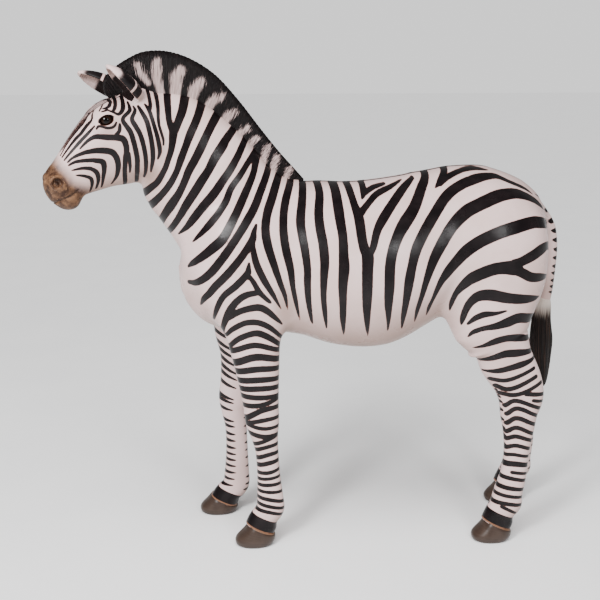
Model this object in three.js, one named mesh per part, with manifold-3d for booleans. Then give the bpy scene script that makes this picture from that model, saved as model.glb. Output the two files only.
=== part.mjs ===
// Life-size statue of a plains zebra, standing square with its head turned a little to its left.
// Millimetres, +Z up, -X toward the muzzle, -Y the animal's left. The origin lies on the floor
// under the middle of the statue's box.
import * as THREE from 'three';
import { mergeVertices } from 'three/addons/utils/BufferGeometryUtils.js';
import Module from 'manifold-3d';

const wasm = await Module();
wasm.setup();

// ---------------------------------------------------------------- driving dimensions
const CENTRE_X = 43;          // moves the withers line so that the box is centred over the origin
const GAP = 0.3;              // clearance left at every parting between two pieces
const SWELL = 0.45;           // growth of a flesh mesh when it trims the piece that sits on it

const HEAD_PITCH = THREE.MathUtils.degToRad(40);   // muzzle below the poll
const HEAD_YAW = THREE.MathUtils.degToRad(20);     // turned to the animal's left
const HEAD_ORIGIN = [-559, -28, 1582];       // middle of the skull between the ears

const EYE_RADIUS = 28;
const EYE_PLACE = [122, 63, 35];                   // along, across and above the head's axis
const EYE_OPENING = [26, 24, 16.5];                // half sizes of the gap between the lids
const EAR_WALL = 7;

const KNEE_CUT = 440;
const HOCK_CUT = 512;
const FORE_CUT = 772;
const HIND_CUT = 782;
const CHEST_GAP = 45;                              // half of the width left between two legs
const TUFT_TOP = 862;

const HOOF_LENGTH = 146;
const HOOF_WIDTH = 114;
const CORONET_SLOPE = THREE.MathUtils.degToRad(24);
const CORONET_BACK = 20;       // how far behind the middle of the sole the crown is measured

// One row per foot: the middle of its sole, the height of its crown, the side and the pair.
const FEET = {
  fore_left: { sole: [-172, -141], crown: 64, side: -1, fore: true },
  fore_right: { sole: [-301, 149], crown: 50, side: 1, fore: true },
  hind_left: { sole: [695, -169], crown: 62, side: -1, fore: false },
  hind_right: { sole: [825, 164], crown: 62, side: 1, fore: false },
};

// ---------------------------------------------------------------- sections along each form
// Trunk: x, height of the axis, reach up, reach down, half width, fullness of the oval.
const TRUNK = [
  [-424, 982, 25, 25, 20, 2.0],
  [-408, 982, 92, 102, 72, 2.0],
  [-381, 985, 143, 162, 112, 2.0],
  [-335, 992, 196, 206, 148, 2.0],
  [-250, 1007, 240, 253, 174, 2.1],
  [-120, 1012, 272, 239, 205, 2.2],
  [20, 1002, 303, 243, 238, 2.2],
  [150, 992, 309, 274, 262, 2.15],
  [280, 992, 316, 277, 266, 2.15],
  [400, 1012, 313, 229, 254, 2.15],
  [500, 1042, 304, 190, 236, 2.1],
  [600, 1072, 287, 195, 220, 2.1],
  [700, 1082, 265, 190, 198, 2.1],
  [790, 1087, 216, 165, 160, 2.0],
  [850, 1082, 140, 120, 105, 2.0],
  [880, 1077, 70, 60, 50, 2.0],
];
// Neck, poll to shoulder: x, y, z, reach to the crest, reach to the throat, half width.
const NECK = [
  [-572, -38, 1570, 60, 70, 45],
  [-540, -35, 1539, 108, 123, 74],
  [-500, -30, 1502, 143, 150, 84],
  [-440, -22, 1452, 170, 168, 95],
  [-385, -14, 1397, 180, 203, 108],
  [-330, -6, 1327, 198, 215, 122],
  [-285, 0, 1237, 230, 202, 142],
  [-235, 0, 1142, 266, 190, 158],
  [-165, 0, 1067, 228, 180, 150],
  [-110, 0, 1022, 100, 100, 80],
];
// Head, poll to lips: distance along, profile above, profile below, half width, fullness.
const HEAD = [
  [-78, 0, -45, 28, 2.0],
  [-52, 34, -105, 62, 2.0],
  [-15, 54, -155, 83, 2.0],
  [30, 61, -176, 92, 2.1],
  [75, 71, -191, 95, 2.2],
  [120, 79, -210, 93, 2.3],
  [165, 77, -213, 82, 2.3],
  [205, 70, -192, 71, 2.3],
  [250, 60, -160, 62, 2.3],
  [295, 48, -136, 56, 2.3],
  [335, 38, -116, 54, 2.3],
  [362, 33, -107, 50, 2.2],
  [387, 20, -98, 38, 2.1],
  [399, 0, -80, 22, 2.0],
];
const HEAD_AXIS_DROP = [-22, 0.045];   // the axis starts below the head's origin and sinks slowly
// Legs, top to coronet: x, distance from the midline, z, reach back, reach forward, half width.
const FORELEG = [
  [-165, 80, 1062, 50, 50, 30],
  [-165, 112, 992, 80, 90, 50],
  [-165, 124, 912, 98, 125, 56],
  [-165, 134, 832, 98, 110, 60],
  [-163, 140, 742, 86, 90, 58],
  [-158, 141, 642, 78, 71, 51],
  [-150, 141, 542, 68, 60, 44],
  [-143, 141, 462, 62, 56, 43],
  [-137, 141, 412, 52, 44, 37],
  [-130, 141, 352, 46, 36, 33],
  [-123, 141, 262, 45, 38, 33],
  [-119, 141, 182, 51, 43, 37],
  [-119, 141, 132, 53, 48, 39],
  [-140, 141, 87, 37, 56, 40],
  [-152, 141, 52, 44, 60, 44],
];
const HINDLEG = [
  [690, 70, 1132, 60, 60, 40],
  [690, 105, 1062, 120, 120, 75],
  [685, 132, 982, 150, 155, 94],
  [668, 150, 882, 150, 172, 92],
  [672, 160, 782, 127, 132, 80],
  [692, 163, 735, 116, 88, 70],
  [718, 165, 682, 102, 90, 62],
  [762, 167, 602, 93, 80, 49],
  [782, 168, 542, 84, 78, 43],
  [782, 168, 482, 65, 71, 41],
  [780, 169, 412, 55, 55, 36],
  [776, 169, 332, 47, 45, 34],
  [765, 169, 252, 53, 44, 34],
  [750, 169, 182, 57, 50, 38],
  [742, 169, 137, 62, 53, 40],
  [722, 169, 92, 42, 54, 41],
  [713, 169, 57, 48, 60, 44],
];
// The right legs stand elsewhere: height, then how far that part is moved along X and along Z.
const RIGHT_FORE_MOVE = [
  [0, -130, -10],
  [60, -126, -16],
  [130, -119, -22],
  [240, -109, -12],
  [430, -102, 0],
  [620, -57, 0],
  [750, -54, 0],
  [920, -10, 0],
];
const RIGHT_HIND_MOVE = [
  [0, 132, 0],
  [130, 131, 0],
  [280, 122, 0],
  [480, 95, 0],
  [780, 40, 0],
  [980, 0, 0],
];
// Tail: x, z, reach back, reach forward, half width.
const DOCK = [
  [790, 1207, 40, 40, 34],
  [850, 1182, 38, 38, 30],
  [893, 1128, 34, 30, 27],
  [911, 1057, 28, 27, 25],
  [912, 982, 25, 24, 22],
  [908, 902, 23, 21, 20],
  [902, 852, 21, 19, 19],
];
const TUFT = [
  [902, 868, 21, 20, 19],
  [897, 842, 30, 29, 25],
  [895, 782, 36, 36, 31],
  [898, 712, 43, 43, 35],
  [901, 647, 38, 38, 32],
  [908, 587, 26, 26, 24],
  [914, 547, 14, 14, 13],
  [916, 528, 5, 5, 5],
];
// Mane: foot x, y, z; ridge x, y, z; half thickness at the foot and at the ridge.
const MANE = [
  [-630, -58, 1586, -655, -64, 1614, 9, 7],
  [-616, -54, 1602, -656, -63, 1655, 11, 7],
  [-592, -50, 1610, -628, -58, 1691, 18, 9],
  [-552, -42, 1614, -582, -44, 1723, 23, 10],
  [-512, -34, 1612, -522, -34, 1749, 32, 11],
  [-452, -24, 1600, -445, -24, 1750, 33, 11],
  [-386, -14, 1582, -365, -14, 1724, 33, 11],
  [-320, -5, 1544, -283, -5, 1670, 32, 11],
  [-254, 0, 1482, -205, 0, 1584, 30, 11],
  [-184, 0, 1420, -133, 0, 1490, 27, 11],
  [-112, 0, 1360, -70, 0, 1411, 24, 10],
  [-50, 0, 1310, -12, 0, 1346, 21, 9],
  [4, 0, 1287, 18, 0, 1312, 16, 8],
];
// Hoof: height, shift back, reach back and forward, half width, as shares of the half sizes.
const HOOF = [
  [0, 0, 0.74, 0.82, 0.84],
  [8, 0, 0.9, 0.95, 0.95],
  [26, 2, 0.99, 0.96, 1.0],
  [60, 10, 0.86, 0.64, 0.9],
  [110, 22, 0.58, 0.36, 0.76],
];
const HOOF_SIDES = 16;
// Ears: foot and tip in the head's own axes, and the way the cup opens (along, across).
const EARS = {
  ear_left: { foot: [-10, 60, 22], tip: [9, 100, 169], opens: [0.9, 0.43] },
  ear_right: { foot: [0, -57, 22], tip: [66, -88, 182], opens: [0.87, 0.5] },
};
// Ear sections: place along the ear, reach to the front, reach to the back, half width.
const EAR = [
  [-0.14, 12, 22, 22],
  [0.02, 18, 28, 31],
  [0.18, 23, 33, 40],
  [0.4, 22, 34, 46],
  [0.62, 17, 30, 44],
  [0.8, 12, 22, 34],
  [0.93, 7, 13, 20],
  [1.0, 3, 6, 8],
];

// ---------------------------------------------------------------- the head's own axes
const [cosP, sinP] = [Math.cos(HEAD_PITCH), Math.sin(HEAD_PITCH)];
const [cosY, sinY] = [Math.cos(HEAD_YAW), Math.sin(HEAD_YAW)];
const ALONG = [-cosP * cosY, -cosP * sinY, -sinP];
const ACROSS = [sinY, -cosY, 0];
const ABOVE = [-sinP * cosY, -sinP * sinY, cosP];

const dot = (a, b) => a[0] * b[0] + a[1] * b[1] + a[2] * b[2];
const sub = (a, b) => [a[0] - b[0], a[1] - b[1], a[2] - b[2]];
const add = (a, b, s = 1) => [a[0] + b[0] * s, a[1] + b[1] * s, a[2] + b[2] * s];
const cross = (a, b) => [
  a[1] * b[2] - a[2] * b[1], a[2] * b[0] - a[0] * b[2], a[0] * b[1] - a[1] * b[0],
];
const unit = (a) => {
  const length = Math.hypot(...a);
  return a.map((c) => c / length);
};
const head = (u, v, w) => add(add(add(HEAD_ORIGIN, ALONG, u), ACROSS, v), ABOVE, w);

// ---------------------------------------------------------------- smooth forms
const FINE = 12;              // steps between two sections of a form
const SECTION = { up: 3, down: 4, half: 5, full: 6 };

function spline(rows) {
  const last = rows.length - 1;
  const mirror = (a, b) => a.map((c, i) => 2 * c - b[i]);
  const padded = [mirror(rows[0], rows[1]), ...rows, mirror(rows[last], rows[last - 1])];
  const fine = [];
  for (let step = 0; step <= last * FINE; step++) {
    const i = Math.min(Math.floor(step / FINE), last - 1);
    const f = step / FINE - i;
    const [a, b, c, d] = padded.slice(i, i + 4);
    fine.push(b.map((_, k) => 0.5 * (2 * b[k] + (c[k] - a[k]) * f
      + (2 * a[k] - 5 * b[k] + 4 * c[k] - d[k]) * f * f
      + (3 * b[k] - a[k] - 3 * c[k] + d[k]) * f * f * f)));
  }
  return fine;
}

// A form swept through oval sections. Rows: x, y, z, reach up, reach down, half width, fullness.
// "Up" is the sweep direction crossed with the side axis.
class Loft {
  constructor(rows, side, blend) {
    this.blend = blend;
    this.fine = spline(rows).map((values) => ({ at: values.slice(0, 3), values }));
    this.fine.forEach((station, i) => {
      const before = this.fine[Math.max(i - 1, 0)].at;
      const after = this.fine[Math.min(i + 1, this.fine.length - 1)].at;
      station.along = unit(sub(after, before));
      station.up = unit(cross(station.along, side));
      station.side = cross(station.up, station.along);
    });
    const reach = (s) => Math.max(...s.values.slice(SECTION.up, SECTION.full));
    this.low = [0, 1, 2].map((k) => Math.min(...this.fine.map((s) => s.at[k] - reach(s))));
    this.high = [0, 1, 2].map((k) => Math.max(...this.fine.map((s) => s.at[k] + reach(s))));
  }

  // Distance of a point beyond the plane of one fine section.
  ahead(point, i) {
    return dot(sub(point, this.fine[i].at), this.fine[i].along);
  }

  distance(point) {
    const last = this.fine.length - 1;
    let [low, high] = [0, last];
    while (high - low > 1) {
      const middle = (low + high) >> 1;
      if (this.ahead(point, middle) > 0) low = middle;
      else high = middle;
    }
    const [from, to] = [this.ahead(point, low), this.ahead(point, high)];
    const t = THREE.MathUtils.clamp(from / Math.max(from - to, 1e-6), 0, 1);
    const [a, b] = [this.fine[low], this.fine[high]];
    const mix = (k) => a.values[k] + (b.values[k] - a.values[k]) * t;
    const at = [mix(0), mix(1), mix(2)];
    const offset = sub(point, at);
    const beyond = t === 0 && low === 0 ? -from : t === 1 && high === last ? to : 0;
    const rise = dot(offset, a.up);
    const depth = mix(rise > 0 ? SECTION.up : SECTION.down);
    const surface = ovalDistance(rise, dot(offset, a.side), depth, mix(SECTION.half),
      mix(SECTION.full));
    if (beyond <= 0) return surface;
    return surface > 0 ? Math.hypot(surface, beyond) : Math.max(surface, beyond);
  }
}

// Signed distance to a superellipse, close to exact near its outline.
function ovalDistance(rise, across, depth, half, full) {
  const x = Math.abs(rise) / depth;
  const y = Math.abs(across) / half;
  const k = Math.max(x ** full + y ** full, 1e-12) ** (1 / full);
  const slope = k ** (1 - full) * Math.hypot(x ** (full - 1) / depth, y ** (full - 1) / half);
  return (k - 1) / Math.max(slope, 0.7 / Math.max(depth, half));
}

class Ellipsoid {
  constructor(centre, radii, axes, blend) {
    Object.assign(this, { centre, radii, axes, blend });
    const reach = [0, 1, 2].map((k) => radii.reduce((s, r, i) => s + Math.abs(axes[i][k]) * r, 0));
    this.low = sub(centre, reach);
    this.high = add(centre, reach);
  }

  distance(point) {
    const offset = sub(point, this.centre);
    const scaled = this.axes.map((axis, i) => dot(offset, axis) / this.radii[i]);
    const k = Math.hypot(...scaled);
    const slope = Math.hypot(...scaled.map((c, i) => c / this.radii[i]));
    return k < 1e-6 ? -Math.min(...this.radii) : k * (k - 1) / slope;
  }
}

const smoothMin = (a, b, blend) => {
  const overlap = Math.max(blend - Math.abs(a - b), 0) / blend;
  return Math.min(a, b) - overlap * overlap * blend / 4;
};

// ---------------------------------------------------------------- the animal's body
const WORLD = [[1, 0, 0], [0, 1, 0], [0, 0, 1]];
const HEAD_AXES = [ALONG, ACROSS, ABOVE];
const Y_AXIS = WORLD[1];
const FAR = 60;

// Straight-line reading of a table by its first column.
function readAt(table, key, column) {
  const above = table.findIndex(([first]) => first >= key);
  if (above < 0) return table[table.length - 1][column];
  if (above === 0) return table[0][column];
  const [from, to] = [table[above - 1], table[above]];
  return from[column] + (to[column] - from[column]) * (key - from[0]) / (to[0] - from[0]);
}

function leg(rows, side, move, blend) {
  const placed = rows.map(([x, y, z, rear, front, half]) => {
    const [along, rise] = move ? [readAt(move, z, 1), readAt(move, z, 2)] : [0, 0];
    return [x + along, side * y, z + rise, rear, front, half, 2.2];
  });
  return new Loft(placed, Y_AXIS, blend);
}

function headForms() {
  const rows = HEAD.map(([u, above, below, half, full]) => {
    const axis = HEAD_AXIS_DROP[0] - (u - HEAD[0][0]) * HEAD_AXIS_DROP[1];
    return [...head(u, 0, axis), above - axis, axis - below, half, full];
  });
  const forms = [
    new Loft(rows, ACROSS, 30),
    new Ellipsoid(head(382, 0, -52), [51, 56, 74], HEAD_AXES, 22),
    new Ellipsoid(head(388, 0, -86), [27, 35, 22], HEAD_AXES, 18),
  ];
  for (const side of [1, -1]) {
    forms.push(new Ellipsoid(head(92, side * 60, -105), [90, 32, 88], HEAD_AXES, 30));
    forms.push(new Ellipsoid(head(108, side * 56, 38), [54, 30, 30], HEAD_AXES, 36));
    forms.push(new Ellipsoid(head(123, side * 59, 28), [42, 27, 32], HEAD_AXES, 24));
    forms.push(new Ellipsoid(head(376, side * 41, -20), [30, 20, 28], HEAD_AXES, 20));
  }
  return forms;
}

function bodyForms() {
  const forms = [
    new Loft(TRUNK.map(([x, z, up, down, half, full]) => [x, 0, z, up, down, half, full]),
      Y_AXIS, 60),
    new Loft(NECK.map((row) => [...row, 2]), Y_AXIS, 70),
    ...headForms(),
  ];
  for (const side of [-1, 1]) {
    forms.push(new Ellipsoid([-190, side * 125, 1012], [150, 72, 200], WORLD, 80));
    forms.push(new Ellipsoid([700, side * 122, 1042], [165, 118, 225], WORLD, 80));
  }
  forms.push(leg(FORELEG, -1, null, 48), leg(FORELEG, 1, RIGHT_FORE_MOVE, 48));
  forms.push(leg(HINDLEG, -1, null, 48), leg(HINDLEG, 1, RIGHT_HIND_MOVE, 48));
  return forms;
}

const BODY = bodyForms();

function bodyDistance(point) {
  let distance = 1000;
  for (const form of BODY) {
    const pad = form.blend + FAR;
    const near = point.every((c, k) => c > form.low[k] - pad && c < form.high[k] + pad);
    if (near) distance = smoothMin(distance, form.distance(point), form.blend);
  }
  return distance;
}

// ---------------------------------------------------------------- meshing a stretch of the body
const SETTLE_STEPS = 4;

function gradient(point) {
  const here = bodyDistance(point);
  const slope = WORLD.map((axis) => bodyDistance(add(point, axis)) - here);
  return { here, slope, square: Math.max(dot(slope, slope), 0.05) };
}

function settle(point, swell) {
  let settled = point;
  for (let i = 0; i < SETTLE_STEPS; i++) {
    const { here, slope, square } = gradient(settled);
    settled = add(settled, slope, -here / square);
  }
  const { slope, square } = gradient(settled);
  return add(settled, slope, swell / Math.sqrt(square));
}

// The lattice of distances over a box. Where the body runs out of the box, the outermost layer
// counts as outside, which closes the mesh.
function sampleBox({ low, high, cell }) {
  const count = low.map((c, k) => Math.ceil((high[k] - c) / cell[k]));
  const place = (i, j, k) => [low[0] + i * cell[0], low[1] + j * cell[1], low[2] + k * cell[2]];
  const index = (i, j, k) => (i * (count[1] + 1) + j) * (count[2] + 1) + k;
  const values = new Float64Array((count[0] + 1) * (count[1] + 1) * (count[2] + 1));
  const rim = (i, j, k) => [i, j, k].some((c, axis) => c === 0 || c === count[axis]);
  const clipped = new Set();
  for (let i = 0; i <= count[0]; i++) {
    for (let j = 0; j <= count[1]; j++) {
      for (let k = 0; k <= count[2]; k++) {
        const distance = bodyDistance(place(i, j, k));
        if (distance < 0 && rim(i, j, k)) clipped.add(index(i, j, k));
        values[index(i, j, k)] = clipped.has(index(i, j, k)) ? 1 : distance;
      }
    }
  }
  return { count, place, index, values, clipped };
}

const CORNERS = [0, 1, 2, 3, 4, 5, 6, 7].map((c) => [c >> 2, (c >> 1) & 1, c & 1]);

// One vertex per mixed cell, at the mean of the crossings on its edges.
function cellVertex(lattice, i, j, k, swell) {
  const corners = CORNERS.map(([a, b, c]) => [i + a, j + b, k + c]);
  const values = corners.map((corner) => lattice.values[lattice.index(...corner)]);
  const inside = values.filter((value) => value < 0).length;
  if (inside === 0 || inside === 8) return null;
  let sum = [0, 0, 0];
  let crossings = 0;
  for (let a = 0; a < 8; a++) {
    for (let b = a + 1; b < 8; b++) {
      const steps = CORNERS[a].filter((c, axis) => c !== CORNERS[b][axis]).length;
      if (steps !== 1 || (values[a] < 0) === (values[b] < 0)) continue;
      const t = values[a] / (values[a] - values[b]);
      const [p, q] = [lattice.place(...corners[a]), lattice.place(...corners[b])];
      sum = add(sum, add(p, sub(q, p), t));
      crossings += 1;
    }
  }
  const mean = sum.map((c) => c / crossings);
  const cut = corners.some((corner) => lattice.clipped.has(lattice.index(...corner)));
  return cut ? mean : settle(mean, swell);
}

function fleshMesh(box, swell = 0) {
  const lattice = sampleBox(box);
  const { count, index, values } = lattice;
  const vertices = [];
  const vertexOf = new Map();
  for (let i = 0; i < count[0]; i++) {
    for (let j = 0; j < count[1]; j++) {
      for (let k = 0; k < count[2]; k++) {
        const vertex = cellVertex(lattice, i, j, k, swell);
        if (vertex) vertexOf.set(index(i, j, k), vertices.push(vertex) - 1);
      }
    }
  }
  const faces = [];
  for (let i = 0; i < count[0]; i++) {
    for (let j = 0; j < count[1]; j++) {
      for (let k = 0; k < count[2]; k++) {
        WORLD.forEach((axis, a) => {
          const [u, v] = [WORLD[(a + 1) % 3], WORLD[(a + 2) % 3]];
          if (dot([i, j, k], u) === 0 || dot([i, j, k], v) === 0) return;
          const here = values[index(i, j, k)] < 0;
          const there = values[index(i + axis[0], j + axis[1], k + axis[2])] < 0;
          if (here === there) return;
          const cell = (du, dv) => vertexOf.get(index(i - u[0] * du - v[0] * dv,
            j - u[1] * du - v[1] * dv, k - u[2] * du - v[2] * dv));
          const quad = [cell(1, 1), cell(0, 1), cell(0, 0), cell(1, 0)];
          pushQuad(faces, here ? quad : quad.reverse(), vertices);
        });
      }
    }
  }
  return solid(vertices, faces);
}

// Splits a quad along its shorter diagonal.
function pushQuad(faces, [a, b, c, d], vertices) {
  const span = (p, q) => Math.hypot(...sub(vertices[p], vertices[q]));
  if (span(a, c) <= span(b, d)) faces.push([a, b, c], [a, c, d]);
  else faces.push([a, b, d], [b, c, d]);
}

// ---------------------------------------------------------------- solids from meshes
function solid(vertices, faces) {
  let volume = 0;
  for (const [a, b, c] of faces) volume += dot(vertices[a], cross(vertices[b], vertices[c]));
  const outward = volume > 0 ? faces : faces.map(([a, b, c]) => [a, c, b]);
  return new wasm.Manifold(new wasm.Mesh({
    numProp: 3,
    vertProperties: new Float32Array(vertices.flat()),
    triVerts: new Uint32Array(outward.flat()),
  }));
}

function solidOf(geometry, matrix) {
  const plain = geometry.clone().applyMatrix4(matrix);
  plain.deleteAttribute('normal');
  plain.deleteAttribute('uv');
  const merged = mergeVertices(plain, 1e-4);
  return new wasm.Manifold(new wasm.Mesh({
    numProp: 3,
    vertProperties: new Float32Array(merged.attributes.position.array),
    triVerts: new Uint32Array(merged.index.array),
  }));
}

// A closed skin over rings of equally many points, with a fan over each end.
function ringSolid(rings) {
  const size = rings[0].length;
  const vertices = rings.flat();
  const faces = [];
  for (let r = 0; r + 1 < rings.length; r++) {
    for (let i = 0; i < size; i++) {
      const next = (i + 1) % size;
      const quad = [r * size + i, r * size + next, (r + 1) * size + next, (r + 1) * size + i];
      pushQuad(faces, quad, vertices);
    }
  }
  for (const [ring, flip] of [[0, true], [rings.length - 1, false]]) {
    const middle = rings[ring].reduce((s, p) => add(s, p), [0, 0, 0]).map((c) => c / size);
    const hub = vertices.push(middle) - 1;
    for (let i = 0; i < size; i++) {
      const [a, b] = [ring * size + i, ring * size + (i + 1) % size];
      faces.push(flip ? [hub, b, a] : [hub, a, b]);
    }
  }
  return solid(vertices, faces);
}

// Rings through the sections of a loft, without its finer steps.
function loftRings(rows, side, points) {
  const loft = new Loft(rows, side, 1);
  return rows.map((row, i) => {
    const station = loft.fine[i * FINE];
    const [up, down, half, full] = row.slice(SECTION.up);
    return Array.from({ length: points }, (_, n) => {
      const angle = 2 * Math.PI * n / points;
      const [c, s] = [Math.cos(angle), Math.sin(angle)];
      const rise = Math.sign(c) * Math.abs(c) ** (2 / full) * (c > 0 ? up : down);
      const across = Math.sign(s) * Math.abs(s) ** (2 / full) * half;
      return add(add(station.at, station.up, rise), station.side, across);
    });
  });
}

// ---------------------------------------------------------------- cutting tools
const HUGE = 3000;

function box(low, high) {
  const size = sub(high, low);
  const middle = add(low, size, 0.5);
  return solidOf(new THREE.BoxGeometry(...size), new THREE.Matrix4().makeTranslation(...middle));
}

// Everything on the side of a plane that its normal points to.
function halfSpace(point, normal) {
  const turn = new THREE.Quaternion().setFromUnitVectors(
    new THREE.Vector3(0, 0, 1), new THREE.Vector3(...unit(normal)));
  const middle = add(point, unit(normal), HUGE / 2);
  const matrix = new THREE.Matrix4().compose(
    new THREE.Vector3(...middle), turn, new THREE.Vector3(1, 1, 1));
  return solidOf(new THREE.BoxGeometry(HUGE, HUGE, HUGE), matrix);
}

const back = (normal) => normal.map((c) => -c);
// The two sides of a parting: half of the gap is taken from each.
const ahead = (point, normal) => halfSpace(add(point, unit(normal), GAP / 2), normal);
const behind = (point, normal) => ahead(point, back(normal));

const biggest = (shape) => shape.decompose().sort((a, b) => b.volume() - a.volume())[0];

// Partings: behind the jaw and poll, under the jaw, and from the withers to the breast.
const TURN = THREE.MathUtils.degToRad(16);
const turned = ([x, z]) => [x * Math.cos(TURN), x * Math.sin(TURN), z];
const POLL = { point: [-472, -20, 1382], normal: turned([-0.977, -0.214]) };
const THROAT = { point: [-472, -20, 1382], normal: turned([-0.707, 0.707]) };
const SHOULDER = { point: [-20, 0, 1317], normal: [-0.41, 0, 0.91] };

// All that belongs to the head, drawn in by `inset`.
function headRegion(inset) {
  const [above, before] = [THROAT, POLL].map(({ point, normal }) => (
    halfSpace(add(point, unit(normal), inset), normal)));
  return above.intersect(before);
}

// ---------------------------------------------------------------- flesh
const STRETCHES = {
  head: { low: [-960, -300, 1200], high: [-400, 150, 1700], cell: [29, 27, 29] },
  neck: { low: [-700, -230, 940], high: [80, 230, 1700], cell: [46, 42, 44] },
  trunk: { low: [-520, -316, 636], high: [960, 320, 1400], cell: [74, 57, 62] },
};

const swollen = Object.fromEntries(Object.entries(STRETCHES)
  .map(([name, stretch]) => [name, fleshMesh(stretch, SWELL)]));

const legBox = (fore, side) => {
  const [x0, x1, top] = fore ? [-470, -55, FORE_CUT] : [480, 960, HIND_CUT];
  const [y0, y1] = side < 0 ? [-400, -CHEST_GAP] : [CHEST_GAP, 400];
  return (grow) => box([x0 - grow, y0 - grow, -50], [x1 + grow, y1 + grow, top + grow]);
};

function eyeball(side, radius) {
  const [u, v, w] = EYE_PLACE;
  const matrix = new THREE.Matrix4().makeTranslation(...head(u, side * v, w));
  return solidOf(new THREE.SphereGeometry(radius, 14, 8), matrix);
}

// The almond between the lids, laid along the head.
function lidOpening(side) {
  const [u, v, w] = EYE_PLACE;
  const matrix = new THREE.Matrix4().makeBasis(
    new THREE.Vector3(...ALONG), new THREE.Vector3(...ACROSS), new THREE.Vector3(...ABOVE));
  matrix.setPosition(...head(u, side * (v + EYE_RADIUS), w));
  matrix.scale(new THREE.Vector3(...EYE_OPENING));
  return solidOf(new THREE.SphereGeometry(1, 14, 6), matrix);
}

function makeHead() {
  const flesh = fleshMesh(STRETCHES.head).intersect(headRegion(GAP / 2));
  let carved = flesh;
  for (const side of [1, -1]) {
    carved = carved.subtract(eyeball(side, EYE_RADIUS + GAP)).subtract(lidOpening(side));
  }
  return biggest(carved);
}

function makeNeck() {
  const flesh = fleshMesh(STRETCHES.neck).intersect(ahead(SHOULDER.point, SHOULDER.normal));
  return biggest(flesh.subtract(headRegion(-GAP / 2)));
}

function makeTrunk() {
  let flesh = fleshMesh(STRETCHES.trunk).intersect(behind(SHOULDER.point, SHOULDER.normal));
  for (const { fore, side } of Object.values(FEET)) {
    flesh = flesh.subtract(legBox(fore, side)(GAP / 2));
  }
  return biggest(flesh);
}

// The slanting plane of a coronet, which parts the leg from its hoof.
function coronet({ sole, crown }) {
  const point = [sole[0] + CORONET_BACK, sole[1], crown];
  return { point, normal: [Math.sin(CORONET_SLOPE), 0, Math.cos(CORONET_SLOPE)] };
}

function makeLeg(foot) {
  const { sole: [x, y], fore, side } = foot;
  const middle = fore ? KNEE_CUT : HOCK_CUT;
  const top = fore ? FORE_CUT : HIND_CUT;
  const reach = fore ? 150 : 200;
  const hip = (fore ? FORELEG : HINDLEG)[3][0] + reach * 0.1;
  const upperBox = {
    low: [hip - reach * 1.2, y - 130, middle - 70],
    high: [hip + reach * 1.6, y + 130, top + 90],
    cell: [34, 30, 52],
  };
  const lowerBox = {
    low: [x - 107, y - 79, 8],
    high: [x + 190, y + 80, middle + 100],
    cell: [23, 22, 49],
  };
  const frame = legBox(fore, side)(-GAP / 2);
  const at = [0, 0, middle];
  const upper = fleshMesh(upperBox).intersect(frame).intersect(ahead(at, [0, 0, 1]));
  const ring = coronet(foot);
  const lower = fleshMesh(lowerBox).intersect(behind(at, [0, 0, 1]))
    .intersect(ahead(ring.point, ring.normal));
  return [biggest(upper), biggest(lower)];
}

// ---------------------------------------------------------------- hooves, eyes, ears, mane, tail
function makeHoof(foot) {
  const [x, y] = foot.sole;
  const rings = HOOF.map(([z, shift, rear, front, half]) => (
    Array.from({ length: HOOF_SIDES }, (_, n) => {
      const angle = 2 * Math.PI * n / HOOF_SIDES;
      const [c, s] = [Math.cos(angle), Math.sin(angle)];
      const reach = (c > 0 ? rear : front) * HOOF_LENGTH / 2;
      return [
        x + shift + Math.sign(c) * Math.abs(c) ** 0.87 * reach,
        y + Math.sign(s) * Math.abs(s) ** 0.87 * half * HOOF_WIDTH / 2,
        z,
      ];
    })));
  const { point, normal } = coronet(foot);
  return ringSolid(rings).intersect(behind(point, normal));
}

function makeMane() {
  const rings = MANE.map(([x0, y0, z0, x1, y1, z1, thick0, thick1]) => {
    const foot = [x0, y0, z0];
    const rise = sub([x1, y1, z1], foot);
    const side = foot[0] < -560 ? back(ACROSS) : Y_AXIS;
    const ring = [];
    for (const [level, share] of [[-0.1, 1], [0.25, 1], [0.6, 1], [0.88, 1], [1, 0.45]]) {
      ring.push([level, share * (thick0 + (thick1 - thick0) * Math.max(level, 0))]);
    }
    const mirrored = ring.map(([level, half]) => [level, -half]).reverse();
    return [...ring, ...mirrored].map(([level, half]) => (
      add(add(foot, rise, level), unit(cross(cross(rise, side), rise)), half)));
  });
  let mane = ringSolid(rings);
  for (const flesh of Object.values(swollen)) mane = mane.subtract(flesh);
  return biggest(mane);
}

function makeEar({ foot, tip, opens }) {
  const [base, end] = [head(...foot), head(...tip)];
  const axis = unit(sub(end, base));
  const length = Math.hypot(...sub(end, base));
  const toward = add(ALONG.map((c) => c * opens[0]), ACROSS, opens[1]);
  const front = unit(sub(toward, axis.map((c) => c * dot(toward, axis))));
  const side = cross(front, axis);
  const rings = EAR.map(([along, lip_reach, back_reach, half]) => {
    const centre = add(base, axis, length * along);
    const wall = Math.min(EAR_WALL, half * 0.5, back_reach * 0.45);
    const lip = lip_reach * 0.9;
    const arc = (width, depth) => [-90, -50, -18, 18, 50, 90].map((angle) => {
      const [s, c] = [Math.sin(angle * Math.PI / 180), Math.cos(angle * Math.PI / 180)];
      return add(add(centre, side, s * width), front, -c * depth);
    });
    const rim = (width, reach) => add(add(centre, side, width), front, reach);
    return [
      rim(-half * 0.86, lip), ...arc(half, back_reach), rim(half * 0.86, lip),
      rim(half * 0.86 - wall, lip * 0.97), ...arc(half - wall, back_reach - wall).reverse(),
      rim(wall - half * 0.86, lip * 0.97),
    ];
  });
  return biggest(ringSolid(rings).subtract(swollen.head));
}

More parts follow.
